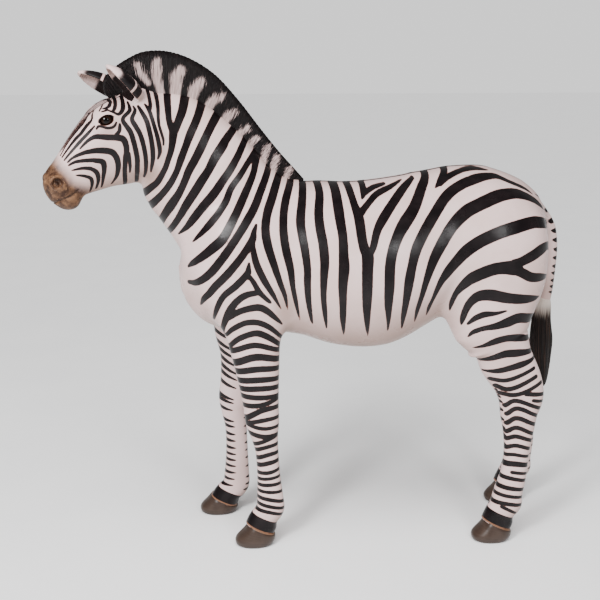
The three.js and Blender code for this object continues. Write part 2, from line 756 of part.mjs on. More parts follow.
function makeDock() {
  const rows = DOCK.map(([x, z, rear, front, half]) => [x, 0, z, rear, front, half, 2]);
  const dock = ringSolid(loftRings(rows, Y_AXIS, 12)).subtract(swollen.trunk);
  return biggest(dock.intersect(ahead([0, 0, TUFT_TOP], [0, 0, 1])));
}

function makeTuft() {
  const rows = TUFT.map(([x, z, rear, front, half]) => [x, 0, z, rear, front, half, 2]);
  const tuft = ringSolid(loftRings(rows, Y_AXIS, 14));
  return tuft.intersect(behind([0, 0, TUFT_TOP], [0, 0, 1]));
}

// ---------------------------------------------------------------- assembly
const PAINT = {
  coat: { color: 0xd8d0cc, roughness: 0.35 },
  mane: { color: 0x1c1718, roughness: 0.5 },
  hoof: { color: 0x564640, roughness: 0.4 },
  eye: { color: 0x120c0a, roughness: 0.08 },
};

const zebra = new THREE.Group();
zebra.position.x = -CENTRE_X;

function place(name, shape, paint) {
  const { vertProperties, triVerts } = shape.getMesh();
  const geometry = new THREE.BufferGeometry();
  geometry.setAttribute('position', new THREE.BufferAttribute(new Float32Array(vertProperties), 3));
  geometry.setIndex(new THREE.BufferAttribute(new Uint32Array(triVerts), 1));
  const mesh = new THREE.Mesh(geometry, new THREE.MeshStandardMaterial({ ...paint, metalness: 0 }));
  mesh.name = name;
  zebra.add(mesh);
}

place('head', makeHead(), PAINT.coat);
place('neck', makeNeck(), PAINT.coat);
place('trunk', makeTrunk(), PAINT.coat);
for (const [name, foot] of Object.entries(FEET)) {
  const [upper, lower] = makeLeg(foot);
  place(`leg_${name}_upper`, upper, PAINT.coat);
  place(`leg_${name}_lower`, lower, PAINT.coat);
  place(`hoof_${name}`, makeHoof(foot), PAINT.hoof);
}
for (const [name, ear] of Object.entries(EARS)) place(name, makeEar(ear), PAINT.coat);
place('eye_left', eyeball(1, EYE_RADIUS), PAINT.eye);
place('eye_right', eyeball(-1, EYE_RADIUS), PAINT.eye);
place('mane', makeMane(), PAINT.mane);
place('tail_dock', makeDock(), PAINT.coat);
place('tail_tuft', makeTuft(), PAINT.mane);

export default zebra;
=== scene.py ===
"""A life-size painted zebra statue: one moulded skin, with mane, tail tuft, hooves and eyes."""
import math

import bpy
import numpy as np
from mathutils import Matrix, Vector


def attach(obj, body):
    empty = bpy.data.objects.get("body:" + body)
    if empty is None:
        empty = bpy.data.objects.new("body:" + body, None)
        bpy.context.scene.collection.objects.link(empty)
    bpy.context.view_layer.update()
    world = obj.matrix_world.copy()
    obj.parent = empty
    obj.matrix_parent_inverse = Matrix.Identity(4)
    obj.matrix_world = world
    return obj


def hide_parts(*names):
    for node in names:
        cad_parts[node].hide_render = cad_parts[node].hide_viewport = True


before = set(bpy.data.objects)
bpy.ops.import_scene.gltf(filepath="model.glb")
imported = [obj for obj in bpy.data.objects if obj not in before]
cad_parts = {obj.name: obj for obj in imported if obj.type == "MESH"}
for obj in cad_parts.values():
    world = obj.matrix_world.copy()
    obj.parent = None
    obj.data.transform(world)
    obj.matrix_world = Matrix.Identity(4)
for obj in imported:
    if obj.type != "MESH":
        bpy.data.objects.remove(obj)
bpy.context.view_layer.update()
MM = 0.001

# ------------------------------------------------------------------ sizes, millimetres
# X runs towards the tail, Y towards the animal's right side, Z up. The middle of the box lies at
# CENTRE_X and moves to X = 0 when a mesh is made.
CENTRE_X = 43.0
HEAD_PITCH = math.radians(40)
HEAD_YAW = math.radians(20)
HEAD_ORIGIN = np.array((-559.0, -28.0, 1582.0))

TRUNK = (      # x, height of the axis, reach up, reach down, half width, fullness
    (-424, 982, 25, 25, 20, 2.0),
    (-408, 982, 92, 102, 72, 2.0),
    (-381, 985, 143, 162, 112, 2.0),
    (-335, 992, 196, 206, 148, 2.0),
    (-250, 1007, 240, 253, 174, 2.1),
    (-120, 1012, 272, 239, 205, 2.2),
    (20, 1002, 303, 243, 238, 2.2),
    (150, 992, 309, 274, 262, 2.15),
    (280, 992, 316, 277, 266, 2.15),
    (400, 1012, 313, 229, 254, 2.15),
    (500, 1042, 304, 190, 236, 2.1),
    (600, 1072, 287, 195, 220, 2.1),
    (700, 1082, 265, 190, 198, 2.1),
    (790, 1087, 216, 165, 160, 2.0),
    (850, 1082, 140, 120, 105, 2.0),
    (880, 1077, 70, 60, 50, 2.0),
)
NECK = (       # x, y, z, reach to the crest, reach to the throat, half width
    (-572, -38, 1570, 60, 70, 45),
    (-540, -35, 1539, 108, 123, 74),
    (-500, -30, 1502, 143, 150, 84),
    (-440, -22, 1452, 170, 168, 95),
    (-385, -14, 1397, 180, 203, 108),
    (-330, -6, 1327, 198, 215, 122),
    (-285, 0, 1237, 230, 202, 142),
    (-235, 0, 1142, 266, 190, 158),
    (-165, 0, 1067, 228, 180, 150),
    (-110, 0, 1022, 100, 100, 80),
)
HEAD = (       # distance along the head, profile above, profile below, half width, fullness
    (-78, 0, -45, 28, 2.0),
    (-52, 34, -105, 62, 2.0),
    (-15, 54, -155, 83, 2.0),
    (30, 61, -176, 92, 2.1),
    (75, 71, -191, 95, 2.2),
    (120, 79, -210, 93, 2.3),
    (165, 77, -213, 82, 2.3),
    (205, 70, -192, 71, 2.3),
    (250, 60, -160, 62, 2.3),
    (295, 48, -136, 56, 2.3),
    (335, 38, -116, 54, 2.3),
    (362, 33, -107, 50, 2.2),
    (387, 20, -98, 38, 2.1),
    (399, 0, -80, 22, 2.0),
)
FORELEG = (    # x, distance from the midline, z, reach back, reach forward, half width
    (-165, 80, 1062, 50, 50, 30),
    (-165, 112, 992, 80, 90, 50),
    (-165, 124, 912, 98, 125, 56),
    (-165, 134, 832, 98, 110, 60),
    (-163, 140, 742, 86, 90, 58),
    (-158, 141, 642, 78, 71, 51),
    (-150, 141, 542, 68, 60, 44),
    (-143, 141, 462, 62, 56, 43),
    (-137, 141, 412, 52, 44, 37),
    (-130, 141, 352, 46, 36, 33),
    (-123, 141, 262, 45, 38, 33),
    (-119, 141, 182, 51, 43, 37),
    (-119, 141, 132, 53, 48, 39),
    (-140, 141, 87, 37, 56, 40),
    (-152, 141, 52, 44, 60, 44),
)
HINDLEG = (    # the same columns
    (690, 70, 1132, 60, 60, 40),
    (690, 105, 1062, 120, 120, 75),
    (685, 132, 982, 150, 155, 94),
    (668, 150, 882, 150, 172, 92),
    (672, 160, 782, 127, 132, 80),
    (692, 163, 735, 116, 88, 70),
    (718, 165, 682, 102, 90, 62),
    (762, 167, 602, 93, 80, 49),
    (782, 168, 542, 84, 78, 43),
    (782, 168, 482, 65, 71, 41),
    (780, 169, 412, 55, 55, 36),
    (776, 169, 332, 47, 45, 34),
    (765, 169, 252, 53, 44, 34),
    (750, 169, 182, 57, 50, 38),
    (742, 169, 137, 62, 53, 40),
    (722, 169, 92, 42, 54, 41),
    (713, 169, 57, 48, 60, 44),
)
RIGHT_FORE_MOVE = (    # height, moved along X, moved along Z
    (0, -130, -10),
    (60, -126, -16),
    (130, -119, -22),
    (240, -109, -12),
    (430, -102, 0),
    (620, -57, 0),
    (750, -54, 0),
    (920, -10, 0),
)
RIGHT_HIND_MOVE = (    # the same for the hind leg
    (0, 132, 0),
    (130, 131, 0),
    (280, 122, 0),
    (480, 95, 0),
    (780, 40, 0),
    (980, 0, 0),
)
DOCK = (       # x, z, reach back, reach forward, half width
    (790, 1207, 40, 40, 34),
    (850, 1182, 38, 38, 30),
    (893, 1128, 34, 30, 27),
    (911, 1057, 28, 27, 25),
    (912, 982, 25, 24, 22),
    (908, 902, 23, 21, 20),
    (902, 852, 21, 19, 19),
)


# ------------------------------------------------------------------ the head's own axes
CP, SP = math.cos(HEAD_PITCH), math.sin(HEAD_PITCH)
CY, SY = math.cos(HEAD_YAW), math.sin(HEAD_YAW)
ALONG = np.array((-CP * CY, -CP * SY, -SP))
ACROSS = np.array((SY, -CY, 0.0))
ABOVE = np.array((-SP * CY, -SP * SY, CP))
HEAD_AXES = np.array((ALONG, ACROSS, ABOVE))
WORLD = np.eye(3)
SIDEWAYS = (0, 1, 0)


def head(u, v, w):
    """A point of the head: distance along it, across to its left, and above its axis."""
    return HEAD_ORIGIN + u * ALONG + v * ACROSS + w * ABOVE


def in_head(points):
    """The same three distances for points of the world."""
    return (points - HEAD_ORIGIN) @ HEAD_AXES.T


# ------------------------------------------------------------------ smooth forms
def spline(rows, fine=12):
    """A smooth curve through rows of numbers, with `fine` steps from one row to the next."""
    rows = np.array(rows, float)
    last = len(rows) - 1
    at = np.linspace(0, last, last * fine + 1)
    padded = np.vstack([2 * rows[0] - rows[1], rows, 2 * rows[-1] - rows[-2]])
    i = np.minimum(at.astype(int), last - 1)
    f = (at - i)[:, None]
    a, b, c, d = padded[i], padded[i + 1], padded[i + 2], padded[i + 3]
    return 0.5 * (2 * b + (c - a) * f + (2 * a - 5 * b + 4 * c - d) * f**2
                  + (3 * b - a - 3 * c + d) * f**3)


class Loft:
    """Oval sections swept along an axis: x y z, reach up, down, half width, fullness.

    The table adds the axis's own way, up and aside at each section, and its pace.
    """

    WAY, UP, ASIDE, PACE = slice(7, 10), slice(10, 13), slice(13, 16), 16

    def __init__(self, rows, side, blend, fine=12):
        self.blend, self.fine, self.cut = blend, fine, False
        table = spline(rows, fine)
        self.last = len(rows) - 1
        centre = table[:, :3]
        step = np.gradient(centre, 1 / fine, axis=0)
        pace = np.linalg.norm(step, axis=1, keepdims=True)
        along = step / pace
        up = np.cross(along, side)
        up /= np.linalg.norm(up, axis=1, keepdims=True)
        self.table = np.hstack([table, along, up, np.cross(up, along), pace])
        self.key = self.table[::fine]
        reach = table[:, 3:6].max(axis=1)[:, None]
        self.low, self.high = (centre - reach).min(0), (centre + reach).max(0)

    def station(self, at):
        scaled = at * self.fine
        i = np.clip(scaled.astype(int), 0, len(self.table) - 2)
        f = (scaled - i)[:, None]
        return self.table[i] * (1 - f) + self.table[i + 1] * f

    def distance(self, points):
        centre, along = self.key[:, :3], self.key[:, self.WAY]
        ahead = points @ along.T - (centre * along).sum(1)
        i = np.clip((ahead > 0).sum(1) - 1, 0, self.last - 1)
        rows = np.arange(len(points))
        near, far = ahead[rows, i], ahead[rows, i + 1]
        gap = np.where(np.abs(near - far) < 1e-6, 1e-6, near - far)
        at = i + np.clip(near / gap, 0, 1)
        for _ in range(2):
            s = self.station(at)
            miss = ((points - s[:, :3]) * s[:, self.WAY]).sum(1)
            at = np.clip(at + miss / s[:, self.PACE], 0, self.last)
        s = self.station(at)
        offset = points - s[:, :3]
        beyond = np.abs((offset * s[:, self.WAY]).sum(1)) * ((at <= 0) | (at >= self.last))
        rise = (offset * s[:, self.UP]).sum(1)
        across = (offset * s[:, self.ASIDE]).sum(1)
        up, down, half, full = s[:, 3:7].T
        surface = oval_distance(rise, across, np.where(rise > 0, up, down), half, full)
        ended = np.where(surface > 0, np.hypot(surface, beyond), np.maximum(surface, beyond))
        return np.where(beyond > 0, ended, surface)


def oval_distance(rise, across, depth, half, full):
    """Distance to a super-ellipse; 2 is a plain ellipse, more is boxier."""
    x, y = np.abs(rise) / depth, np.abs(across) / half
    k = np.maximum(x**full + y**full, 1e-12) ** (1 / full)
    slope = k ** (1 - full) * np.hypot(x ** (full - 1) / depth, y ** (full - 1) / half)
    return (k - 1) / np.maximum(slope, 0.7 / np.maximum(depth, half))


class Ellipsoid:
    """A rounded form, or a hollow where it is a cut."""

    def __init__(self, centre, radii, axes, blend, cut=False):
        self.centre, self.radii = np.asarray(centre, float), np.asarray(radii, float)
        self.axes, self.blend, self.cut = np.asarray(axes, float), blend, cut
        reach = np.abs(self.axes.T) @ self.radii
        self.low, self.high = self.centre - reach, self.centre + reach

    def distance(self, points):
        scaled = (points - self.centre) @ self.axes.T / self.radii
        k = np.linalg.norm(scaled, axis=1)
        slope = np.linalg.norm(scaled / self.radii, axis=1)
        return np.where(k < 1e-6, -self.radii.min(), k * (k - 1) / np.maximum(slope, 1e-9))


def smooth_min(a, b, blend):
    overlap = np.maximum(blend - np.abs(a - b), 0) / blend
    return np.minimum(a, b) - overlap**2 * blend / 4


FAR_OFF = 300.0     # reach of a form where points start away from the surface


def form_distance(forms, points, far=60.0):
    """Distance to a smooth union of forms; a cut is smoothly taken away from those before it."""
    out = np.full(len(points), 1000.0)
    for form in forms:
        pad = form.blend + (0 if form.cut else far)
        near = np.all((points > form.low - pad) & (points < form.high + pad), axis=1)
        if not near.any():
            continue
        distance = form.distance(points[near])
        if form.cut:
            out[near] = -smooth_min(-out[near], distance, form.blend)
        else:
            out[near] = smooth_min(out[near], distance, form.blend)
    return out


# ------------------------------------------------------------------ the animal
FULLNESS = 2.2      # of the sections of legs and ears
HEAD_AXIS_DROP, HEAD_AXIS_SLOPE = 22, 0.045     # of the loft's axis under the head's own


def read_at(rows, key, column):
    """One column of a table, read between its rows by the first column."""
    rows = np.array(rows, float)
    return np.interp(key, rows[:, 0], rows[:, column])


def shifts(move, z):
    """How far a right leg stands along X and Z from where the left one would."""
    return (read_at(move, z, 1), read_at(move, z, 2)) if move else (0, 0)


def leg(rows, side, move=None):
    """A leg; the right ones stand elsewhere than the left ones by their table of moves."""
    placed = []
    for x, y, z, rear, front, half in rows:
        along, rise = shifts(move, z)
        placed.append((x + along, side * y, z + rise, rear, front, half, FULLNESS))
    return Loft(placed, SIDEWAYS, 48)


def head_forms():
    rows = []
    for u, above, below, half, full in HEAD:
        axis = -HEAD_AXIS_DROP - (u - HEAD[0][0]) * HEAD_AXIS_SLOPE
        rows.append((*head(u, 0, axis), above - axis, axis - below, half, full))
    forms = [
        Loft(rows, ACROSS, 30),
        Ellipsoid(head(382, 0, -52), (51, 56, 74), HEAD_AXES, 22),       # muzzle
        Ellipsoid(head(388, 0, -86), (27, 35, 22), HEAD_AXES, 18),       # lower lip
    ]
    for side in (1, -1):
        forms += [
            Ellipsoid(head(92, side * 60, -105), (90, 32, 88), HEAD_AXES, 30),      # cheek
            Ellipsoid(head(108, side * 56, 38), (54, 30, 30), HEAD_AXES, 36),       # brow
            Ellipsoid(head(123, side * 59, 28), (42, 27, 32), HEAD_AXES, 24),       # socket
            Ellipsoid(head(376, side * 41, -20), (30, 20, 28), HEAD_AXES, 20),      # nostril
        ]
    return forms


def neck_loft():
    return Loft([(*row, 2.0) for row in NECK], SIDEWAYS, 70)


def body_forms():
    forms = [
        Loft([(x, 0, z, *rest) for x, z, *rest in TRUNK], SIDEWAYS, 60),
        neck_loft(),
    ]
    forms += head_forms()
    for side in (-1, 1):
        forms.append(Ellipsoid((-190, side * 125, 1012), (150, 72, 200), WORLD, 80))   # shoulder
        forms.append(Ellipsoid((700, side * 122, 1042), (165, 118, 225), WORLD, 80))   # haunch
    forms += [
        leg(FORELEG, -1), leg(FORELEG, 1, RIGHT_FORE_MOVE),
        leg(HINDLEG, -1), leg(HINDLEG, 1, RIGHT_HIND_MOVE),
        Loft([(x, 0, z, *rest, 2) for x, z, *rest in DOCK], SIDEWAYS, 30),
    ]
    return forms


# ------------------------------------------------------------------ details of the moulded skin
EYE_PLACE = (122, 63, 35)      # in the head's own axes
EYE_RADIUS = 28
LID_THICKNESS = 3.4
EYE_GAP = (126, 39)            # middle of the gap between the lids
EYE_GAP_SIZE = (23.5, 24, 15.5)
EYE_TILT = math.radians(20)
EARS = (       # foot, tip, the way the cup opens (along, across)
    ((-6, 60, 22), (9, 100, 169), (1, 0.05)),
    ((0, -57, 22), (66, -88, 182), (1, 0.3)),
)
EAR = (        # place along the ear, reach to the front, reach to the back, half width
    (-0.14, 12, 22, 22),
    (0.02, 20, 28, 35),
    (0.18, 26, 33, 44),
    (0.4, 25, 34, 49),
    (0.62, 20, 30, 46),
    (0.8, 14, 22, 35),
    (0.93, 7, 13, 20),
    (1.0, 3, 6, 8),
)
EAR_WALL, EAR_BLEND, EAR_RIM = 6, 14, 2.5
EAR_BANDS = (   # how far the bands slant, and where each begins and ends along the ear
    (1, ((0.27, 0.59), (0.0, 0.2))),
    (0.15, ((0.57, 0.83), (0.3, 0.515))),
)
EAR_SLANT = (   # places across the ear's back, and how far up the bands lie there
    (-1, -0.6, -0.2, 0.2, 0.6, 1),
    (-0.3, -0.13, 0, 0.075, 0.13, 0.1),
)
NOSTRIL = (380, -8)
MOUTH_CORNERS = ((345, -78), (358, -76), (376, -72), (396, -67), (412, -63))
FEET = {       # sole x, y; height of the crown
    "hoof_fore_left": (-172, -141, 64),
    "hoof_fore_right": (-301, 149, 50),
    "hoof_hind_left": (695, -169, 62),
    "hoof_hind_right": (825, 164, 62),
}
HOOF_LENGTH = 146
HOOF_WIDTH = 114
CORONET_SLOPE = math.radians(24)
CORONET_BACK = 20
HEEL_PLACE = (35, 0, 9)
HEEL_SIZE = (25, 33, 38)
HOOF = (       # height, shift back, reach back and forward, half width, as shares
    (0, 0, 0.74, 0.82, 0.84),
    (8, 0, 0.9, 0.95, 0.95),
    (26, 2, 0.99, 0.96, 1.0),
    (60, 10, 0.86, 0.64, 0.9),
    (110, 22, 0.58, 0.36, 0.76),
)


class Cord:
    """A rounded line through points, used for folds and grooves."""

    def __init__(self, points, radius, blend, cut=False):
        self.points = spline([np.asarray(p, float) for p in points], 6)
        self.radius, self.blend, self.cut = radius, blend, cut
        self.low = self.points.min(0) - radius
        self.high = self.points.max(0) + radius

    def distance(self, points):
        return line_distance(points, self.points)[0] - self.radius


def line_distance(points, line):
    """Distance from each point to a line of segments, and how far along the line, in segments."""
    best = np.full(len(points), 1e9)
    where = np.zeros(len(points))
    for n in range(len(line) - 1):
        run = line[n + 1] - line[n]
        t = np.clip((points - line[n]) @ run / max(run @ run, 1e-9), 0, 1)
        gap = np.linalg.norm(points - line[n] - t[:, None] * run, axis=1)
        closer = gap < best
        best[closer] = gap[closer]
        where[closer] = n + t[closer]
    return best, where


def unit(v):
    return v / np.linalg.norm(v)


class Cup:
    """An ear: a leaf-shaped loft hollowed out towards its open side."""

    def __init__(self, foot, tip, opens):
        base, end = head(*foot), head(*tip)
        self.axis = unit(end - base)
        length = np.linalg.norm(end - base)
        toward = ALONG * opens[0] + ACROSS * opens[1]
        self.front = unit(toward - self.axis * (toward @ self.axis))
        side = np.cross(self.front, self.axis)
        outer, inner = [], []
        for along, ahead, back, half in EAR:
            centre = base + self.axis * length * along
            wall = min(EAR_WALL, half * 0.5, back * 0.45)
            outer.append((*centre, ahead, back, half, FULLNESS))
            if 0 < along < 0.99:
                inner.append((*(centre + self.front * 2), ahead + 40, back - wall + 2,
                              half - wall, FULLNESS))
        self.outer, self.inner = Loft(outer, side, 0), Loft(inner, side, 0)
        self.blend, self.cut = EAR_BLEND, False
        self.low, self.high = self.outer.low, self.outer.high

    def distance(self, points):
        return -smooth_min(-self.outer.distance(points), self.inner.distance(points), 4)


def coronet(name):
    """The plane where a hoof ends and the skin begins, as a point and a normal."""
    x, y, crown = FEET[name]
    normal = np.array((math.sin(CORONET_SLOPE), 0, math.cos(CORONET_SLOPE)))
    return np.array((x + CORONET_BACK, y, crown)), normal


def eye_points(side):
    """The middle of the eyeball, and of the gap between the lids."""
    u, v, w = EYE_PLACE
    gap_u, gap_w = EYE_GAP
    return head(u, side * v, w), head(gap_u, side * (v + EYE_RADIUS), gap_w)


def lid_axes():
    c, s = math.cos(EYE_TILT), math.sin(EYE_TILT)
    return np.array((c * ALONG + s * ABOVE, ACROSS, c * ABOVE - s * ALONG))


def on_side(forms, u, w, side):
    """The point of the head's surface beside (u, w), reached by coming in from the side."""
    point = head(u, side * 140, w)
    for _ in range(40):
        gap = form_distance(forms, point[None])[0]
        point = point - side * ACROSS * gap * 0.9
        if abs(gap) < 0.05:
            break
    return point


def eye_forms(side):
    ball, gap = eye_points(side)
    axes = lid_axes()
    lids = EYE_RADIUS + LID_THICKNESS
    return [
        Ellipsoid(ball, (lids, lids, lids), axes, 9),
        Ellipsoid(gap, EYE_GAP_SIZE, axes, 3, cut=True),
        Ellipsoid(ball, (EYE_RADIUS + 0.3,) * 3, axes, 1.5, cut=True),
    ]


def muzzle_forms(forms):
    """The nostrils with their rims and wings, and the groove of the mouth."""
    made = []
    for side in (1, -1):
        hole = on_side(forms, *NOSTRIL, side)
        made += [
            Ellipsoid(hole - side * 2 * ACROSS, (25, 9, 26), HEAD_AXES, 8),
            Ellipsoid(hole + side * 5 * ACROSS, (17, 15, 17), HEAD_AXES, 6, cut=True),
            Ellipsoid(hole - side * 10 * ACROSS + 5 * ALONG - 3 * ABOVE, (7, 12, 9),
                      HEAD_AXES, 6),
        ]
    left, right = ([on_side(forms, u, w, side) for u, w in MOUTH_CORNERS] for side in (1, -1))
    front = head(433, 0, -60)
    for _ in range(40):
        front = front - ALONG * form_distance(forms, front[None])[0] * 0.9
    made.append(Cord(left + [front] + right[::-1], 3.2, 4, cut=True))
    return made


def skin_forms():
    forms = body_forms()
    flesh = list(forms)
    forms += [Cup(*ear) for ear in EARS]
    for name in FEET:
        heel = coronet(name)[0] + HEEL_PLACE
        forms.append(Ellipsoid(heel, HEEL_SIZE, WORLD, 12))
    forms += muzzle_forms(flesh)
    for side in (1, -1):
        forms += eye_forms(side)
    return forms


# ------------------------------------------------------------------ from forms to a mesh
BLOCK = 8       # cells along each edge of a block of the grid
FINE, LOW, PLAIN = ((2.4, 3.4, 6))    # steps for the head, legs and rest
GRID = (        # stretches of grid lines along X, Y and Z: start, end, step
    ((-935, -470, FINE), (-470, 950, PLAIN)),
    ((-290, -245, PLAIN), (-245, 150, FINE), (150, 290, PLAIN)),
    ((0, 830, LOW), (830, 1190, PLAIN), (1190, 1775, FINE)),
)
SKIN_TUCK = 5       # how far the skin reaches under the crown of a hoof


def active_blocks(distance, axes):
    """Blocks of the grid that the surface may pass through."""
    counts = [math.ceil((len(a) - 1) / BLOCK) for a in axes]
    edges = [a[np.minimum(np.arange(n + 1) * BLOCK, len(a) - 1)]
             for a, n in zip(axes, counts)]
    middle = [(e[1:] + e[:-1]) / 2 for e in edges]
    half = [(e[1:] - e[:-1]) / 2 for e in edges]
    points = np.stack(np.meshgrid(*middle, indexing="ij"), -1).reshape(-1, 3)
    reach = np.stack(np.meshgrid(*half, indexing="ij"), -1).reshape(-1, 3)
    near = np.abs(distance(points)) < 1.6 * np.linalg.norm(reach, axis=1) + 5
    return np.stack(np.unravel_index(np.nonzero(near)[0], counts), -1)


def surface_net(distance, axes):
    """The zero surface of a distance on a grid of uneven steps, as vertices and quads."""
    size = np.array([len(a) for a in axes])
    blocks = active_blocks(distance, axes)
    step = np.arange(BLOCK + 1)
    local = np.stack(np.meshgrid(step, step, step, indexing="ij"), -1).reshape(-1, 3)
    nodes = np.minimum(blocks[:, None] * BLOCK + local[None], size - 1)
    keys, inverse = np.unique(number(nodes, size).ravel(), return_inverse=True)
    spots = np.stack(np.unravel_index(keys, size), -1)
    points = np.stack([axes[k][spots[:, k]] for k in range(3)], -1)
    values = np.concatenate([distance(part) for part in np.array_split(points, 12)])
    field = values[inverse].reshape((len(blocks),) + (BLOCK + 1,) * 3)
    vertices, cells = cell_vertices(field, blocks, size, axes)
    return vertices, cell_quads(field, blocks, size, cells)


def number(nodes, size):
    """One whole number for each node of the grid."""
    nodes = nodes.astype(np.int64)
    return (nodes[..., 0] * size[1] + nodes[..., 1]) * size[2] + nodes[..., 2]


def cell_vertices(field, blocks, size, axes):
    """A vertex in each cell that the surface crosses: the mean of its crossings."""
    corners = np.array([(a, b, c) for a in (0, 1) for b in (0, 1) for c in (0, 1)])
    around = np.stack([field[:, a:a + BLOCK, b:b + BLOCK, c:c + BLOCK]
                       for a, b, c in corners], -1)
    inside = (around < 0).sum(-1)
    found = np.argwhere((inside > 0) & (inside < 8))
    cells = blocks[found[:, 0]] * BLOCK + found[:, 1:]
    kept = np.all(cells < size - 1, axis=1)
    found, cells = found[kept], cells[kept]
    around = around[tuple(found.T)]
    total, count = np.zeros((len(cells), 3)), np.zeros(len(cells))
    for a in range(8):
        for b in range(a + 1, 8):
            if np.abs(corners[a] - corners[b]).sum() != 1:
                continue
            crossed = (around[:, a] < 0) != (around[:, b] < 0)
            rise = np.where(crossed, around[:, a] - around[:, b], 1)
            share = np.where(crossed, around[:, a] / rise, 0)[:, None]
            total += (corners[a] + (corners[b] - corners[a]) * share) * crossed[:, None]
            count += crossed
    total /= count[:, None]
    vertices = np.stack([axes[k][cells[:, k]]
                         + (axes[k][cells[:, k] + 1] - axes[k][cells[:, k]]) * total[:, k]
                         for k in range(3)], -1)
    keys = number(cells, size)
    order = np.argsort(keys)
    return vertices[order], keys[order]


def cell_quads(field, blocks, size, keys):
    """A quad across each edge of the grid that the surface crosses, facing outwards."""
    quads = []
    here = field[:, :BLOCK, :BLOCK, :BLOCK] < 0
    for axis in range(3):
        reach = [slice(0, BLOCK)] * 3
        reach[axis] = slice(1, BLOCK + 1)
        ahead = field[(slice(None), *reach)] < 0
        found = np.argwhere(here != ahead)
        solid = here[tuple(found.T)]
        node = blocks[found[:, 0]] * BLOCK + found[:, 1:]
        corners = []
        good = np.ones(len(found), bool)
        for du, dv in ((1, 1), (0, 1), (0, 0), (1, 0)):
            back = node.copy()
            back[:, (axis + 1) % 3] -= du
            back[:, (axis + 2) % 3] -= dv
            key = number(back, size)
            at = np.minimum(np.searchsorted(keys, key), len(keys) - 1)
            good &= keys[at] == key
            corners.append(at)
        quad = np.stack(corners, -1)
        quads.append(np.where(solid[:, None], quad, quad[:, ::-1])[good])
    return np.vstack(quads)


def settle(distance, vertices, steps=2):
    """Move points straight onto the surface."""
    for _ in range(steps):
        here = distance(vertices)
        slope = np.stack([distance(vertices + axis) - here for axis in WORLD], -1)
        vertices = vertices - slope * (here / np.maximum((slope**2).sum(1), 0.05))[:, None]
    return vertices


def put(name, data):
    """Place an object in the scene for a mesh, a light or a camera."""
    made = bpy.data.objects.new(name, data)
    bpy.context.scene.collection.objects.link(made)
    return made


def make_mesh(name, vertices, faces):
    """A mesh object from millimetres in the body's frame."""
    mesh = bpy.data.meshes.new(name)
    placed = (vertices - np.array((CENTRE_X, 0, 0))) * MM
    mesh.from_pydata(placed.tolist(), [], faces)
    mesh.update()
    mesh.shade_smooth()
    return put(name, mesh)


def write(piece, name, values):
    """Keep a number for each vertex, which the paint reads."""
    layer = piece.data.attributes.new(name, "FLOAT", "POINT")
    layer.data.foreach_set("value", np.asarray(values, np.float32))


def beside(points, place, reach):
    """Which points stand less than `reach` from a place, seen from above."""
    return np.hypot(points[:, 0] - place[0], points[:, 1] - place[1]) < reach


def make_skin():
    forms = skin_forms()

    def distance(points):
        out = form_distance(forms, points)
        for name in FEET:
            point, normal = coronet(name)
            below = (point - SKIN_TUCK * normal - points) @ normal
            near = beside(points, point, 130)
            out = np.where(near, np.maximum(out, below), out)
        return out

    axes = [np.concatenate([np.arange(*stretch) for stretch in line]) for line in GRID]
    vertices, quads = surface_net(distance, axes)
    vertices = settle(distance, vertices)
    return make_mesh("skin", vertices, quads.tolist()), vertices


# ------------------------------------------------------------------ painted stripes
# Middle lines seen from the side, each point (x, height, width).
NECK_STRIPES = (
    ((-448, 1625, 22), (-444, 1560, 18), (-440, 1520, 16), (-429, 1488, 20)),
    ((-386, 1610, 28), (-396, 1560, 26), (-411, 1520, 23), (-424, 1488, 20)),
    ((-427, 1490, 27), (-434, 1440, 19), (-446, 1400, 16), (-462, 1360, 16), (-486, 1320, 18),
     (-509, 1299, 20), (-540, 1272, 22)),
    ((-328, 1596, 28), (-338, 1560, 25), (-353, 1520, 24), (-372, 1480, 24), (-388, 1440, 21),
     (-404, 1400, 21), (-419, 1360, 18), (-440, 1320, 19), (-470, 1280, 20), (-511, 1237, 24),
     (-526, 1224, 24)),
    ((-266, 1562, 26), (-293, 1520, 26), (-315, 1480, 24), (-335, 1440, 26), (-356, 1400, 25),
     (-379, 1360, 24), (-396, 1320, 21), (-416, 1280, 23), (-443, 1240, 28), (-469, 1200, 23),
     (-486, 1168, 21)),
    ((-222, 1496, 22), (-252, 1460, 25), (-266, 1438, 29), (-292, 1400, 28), (-314, 1360, 25),
     (-341, 1320, 27), (-367, 1280, 27), (-393, 1240, 25), (-416, 1200, 20), (-442, 1160, 18),
     (-464, 1130, 14)),
    ((-180, 1466, 18), (-195, 1440, 20), (-216, 1400, 21), (-241, 1360, 23), (-270, 1320, 25),
     (-299, 1280, 27), (-334, 1240, 26), (-366, 1200, 24), (-381, 1180, 20), (-398, 1160, 13),
     (-425, 1134, 0)),
    ((-142, 1420, 24), (-154, 1408, 24), (-180, 1380, 17), (-208, 1340, 18), (-239, 1300, 19),
     (-256, 1260, 20), (-281, 1222, 19), (-315, 1181, 19), (-352, 1141, 10), (-374, 1117, 0)),
    ((-140, 1415, 24), (-148, 1398, 24), (-155, 1372, 20), (-164, 1340, 20), (-195, 1275, 24),
     (-233, 1202, 25), (-268, 1141, 28), (-295, 1114, 29), (-321, 1091, 26), (-371, 1048, 16),
     (-390, 1029, 3)),
    ((-98, 1395, 17), (-110, 1352, 21), (-139, 1287, 23), (-157, 1248, 24), (-177, 1214, 25),
     (-222, 1145, 24), (-268, 1079, 25), (-316, 1018, 24), (-362, 980, 19), (-387, 973, 12)),
)
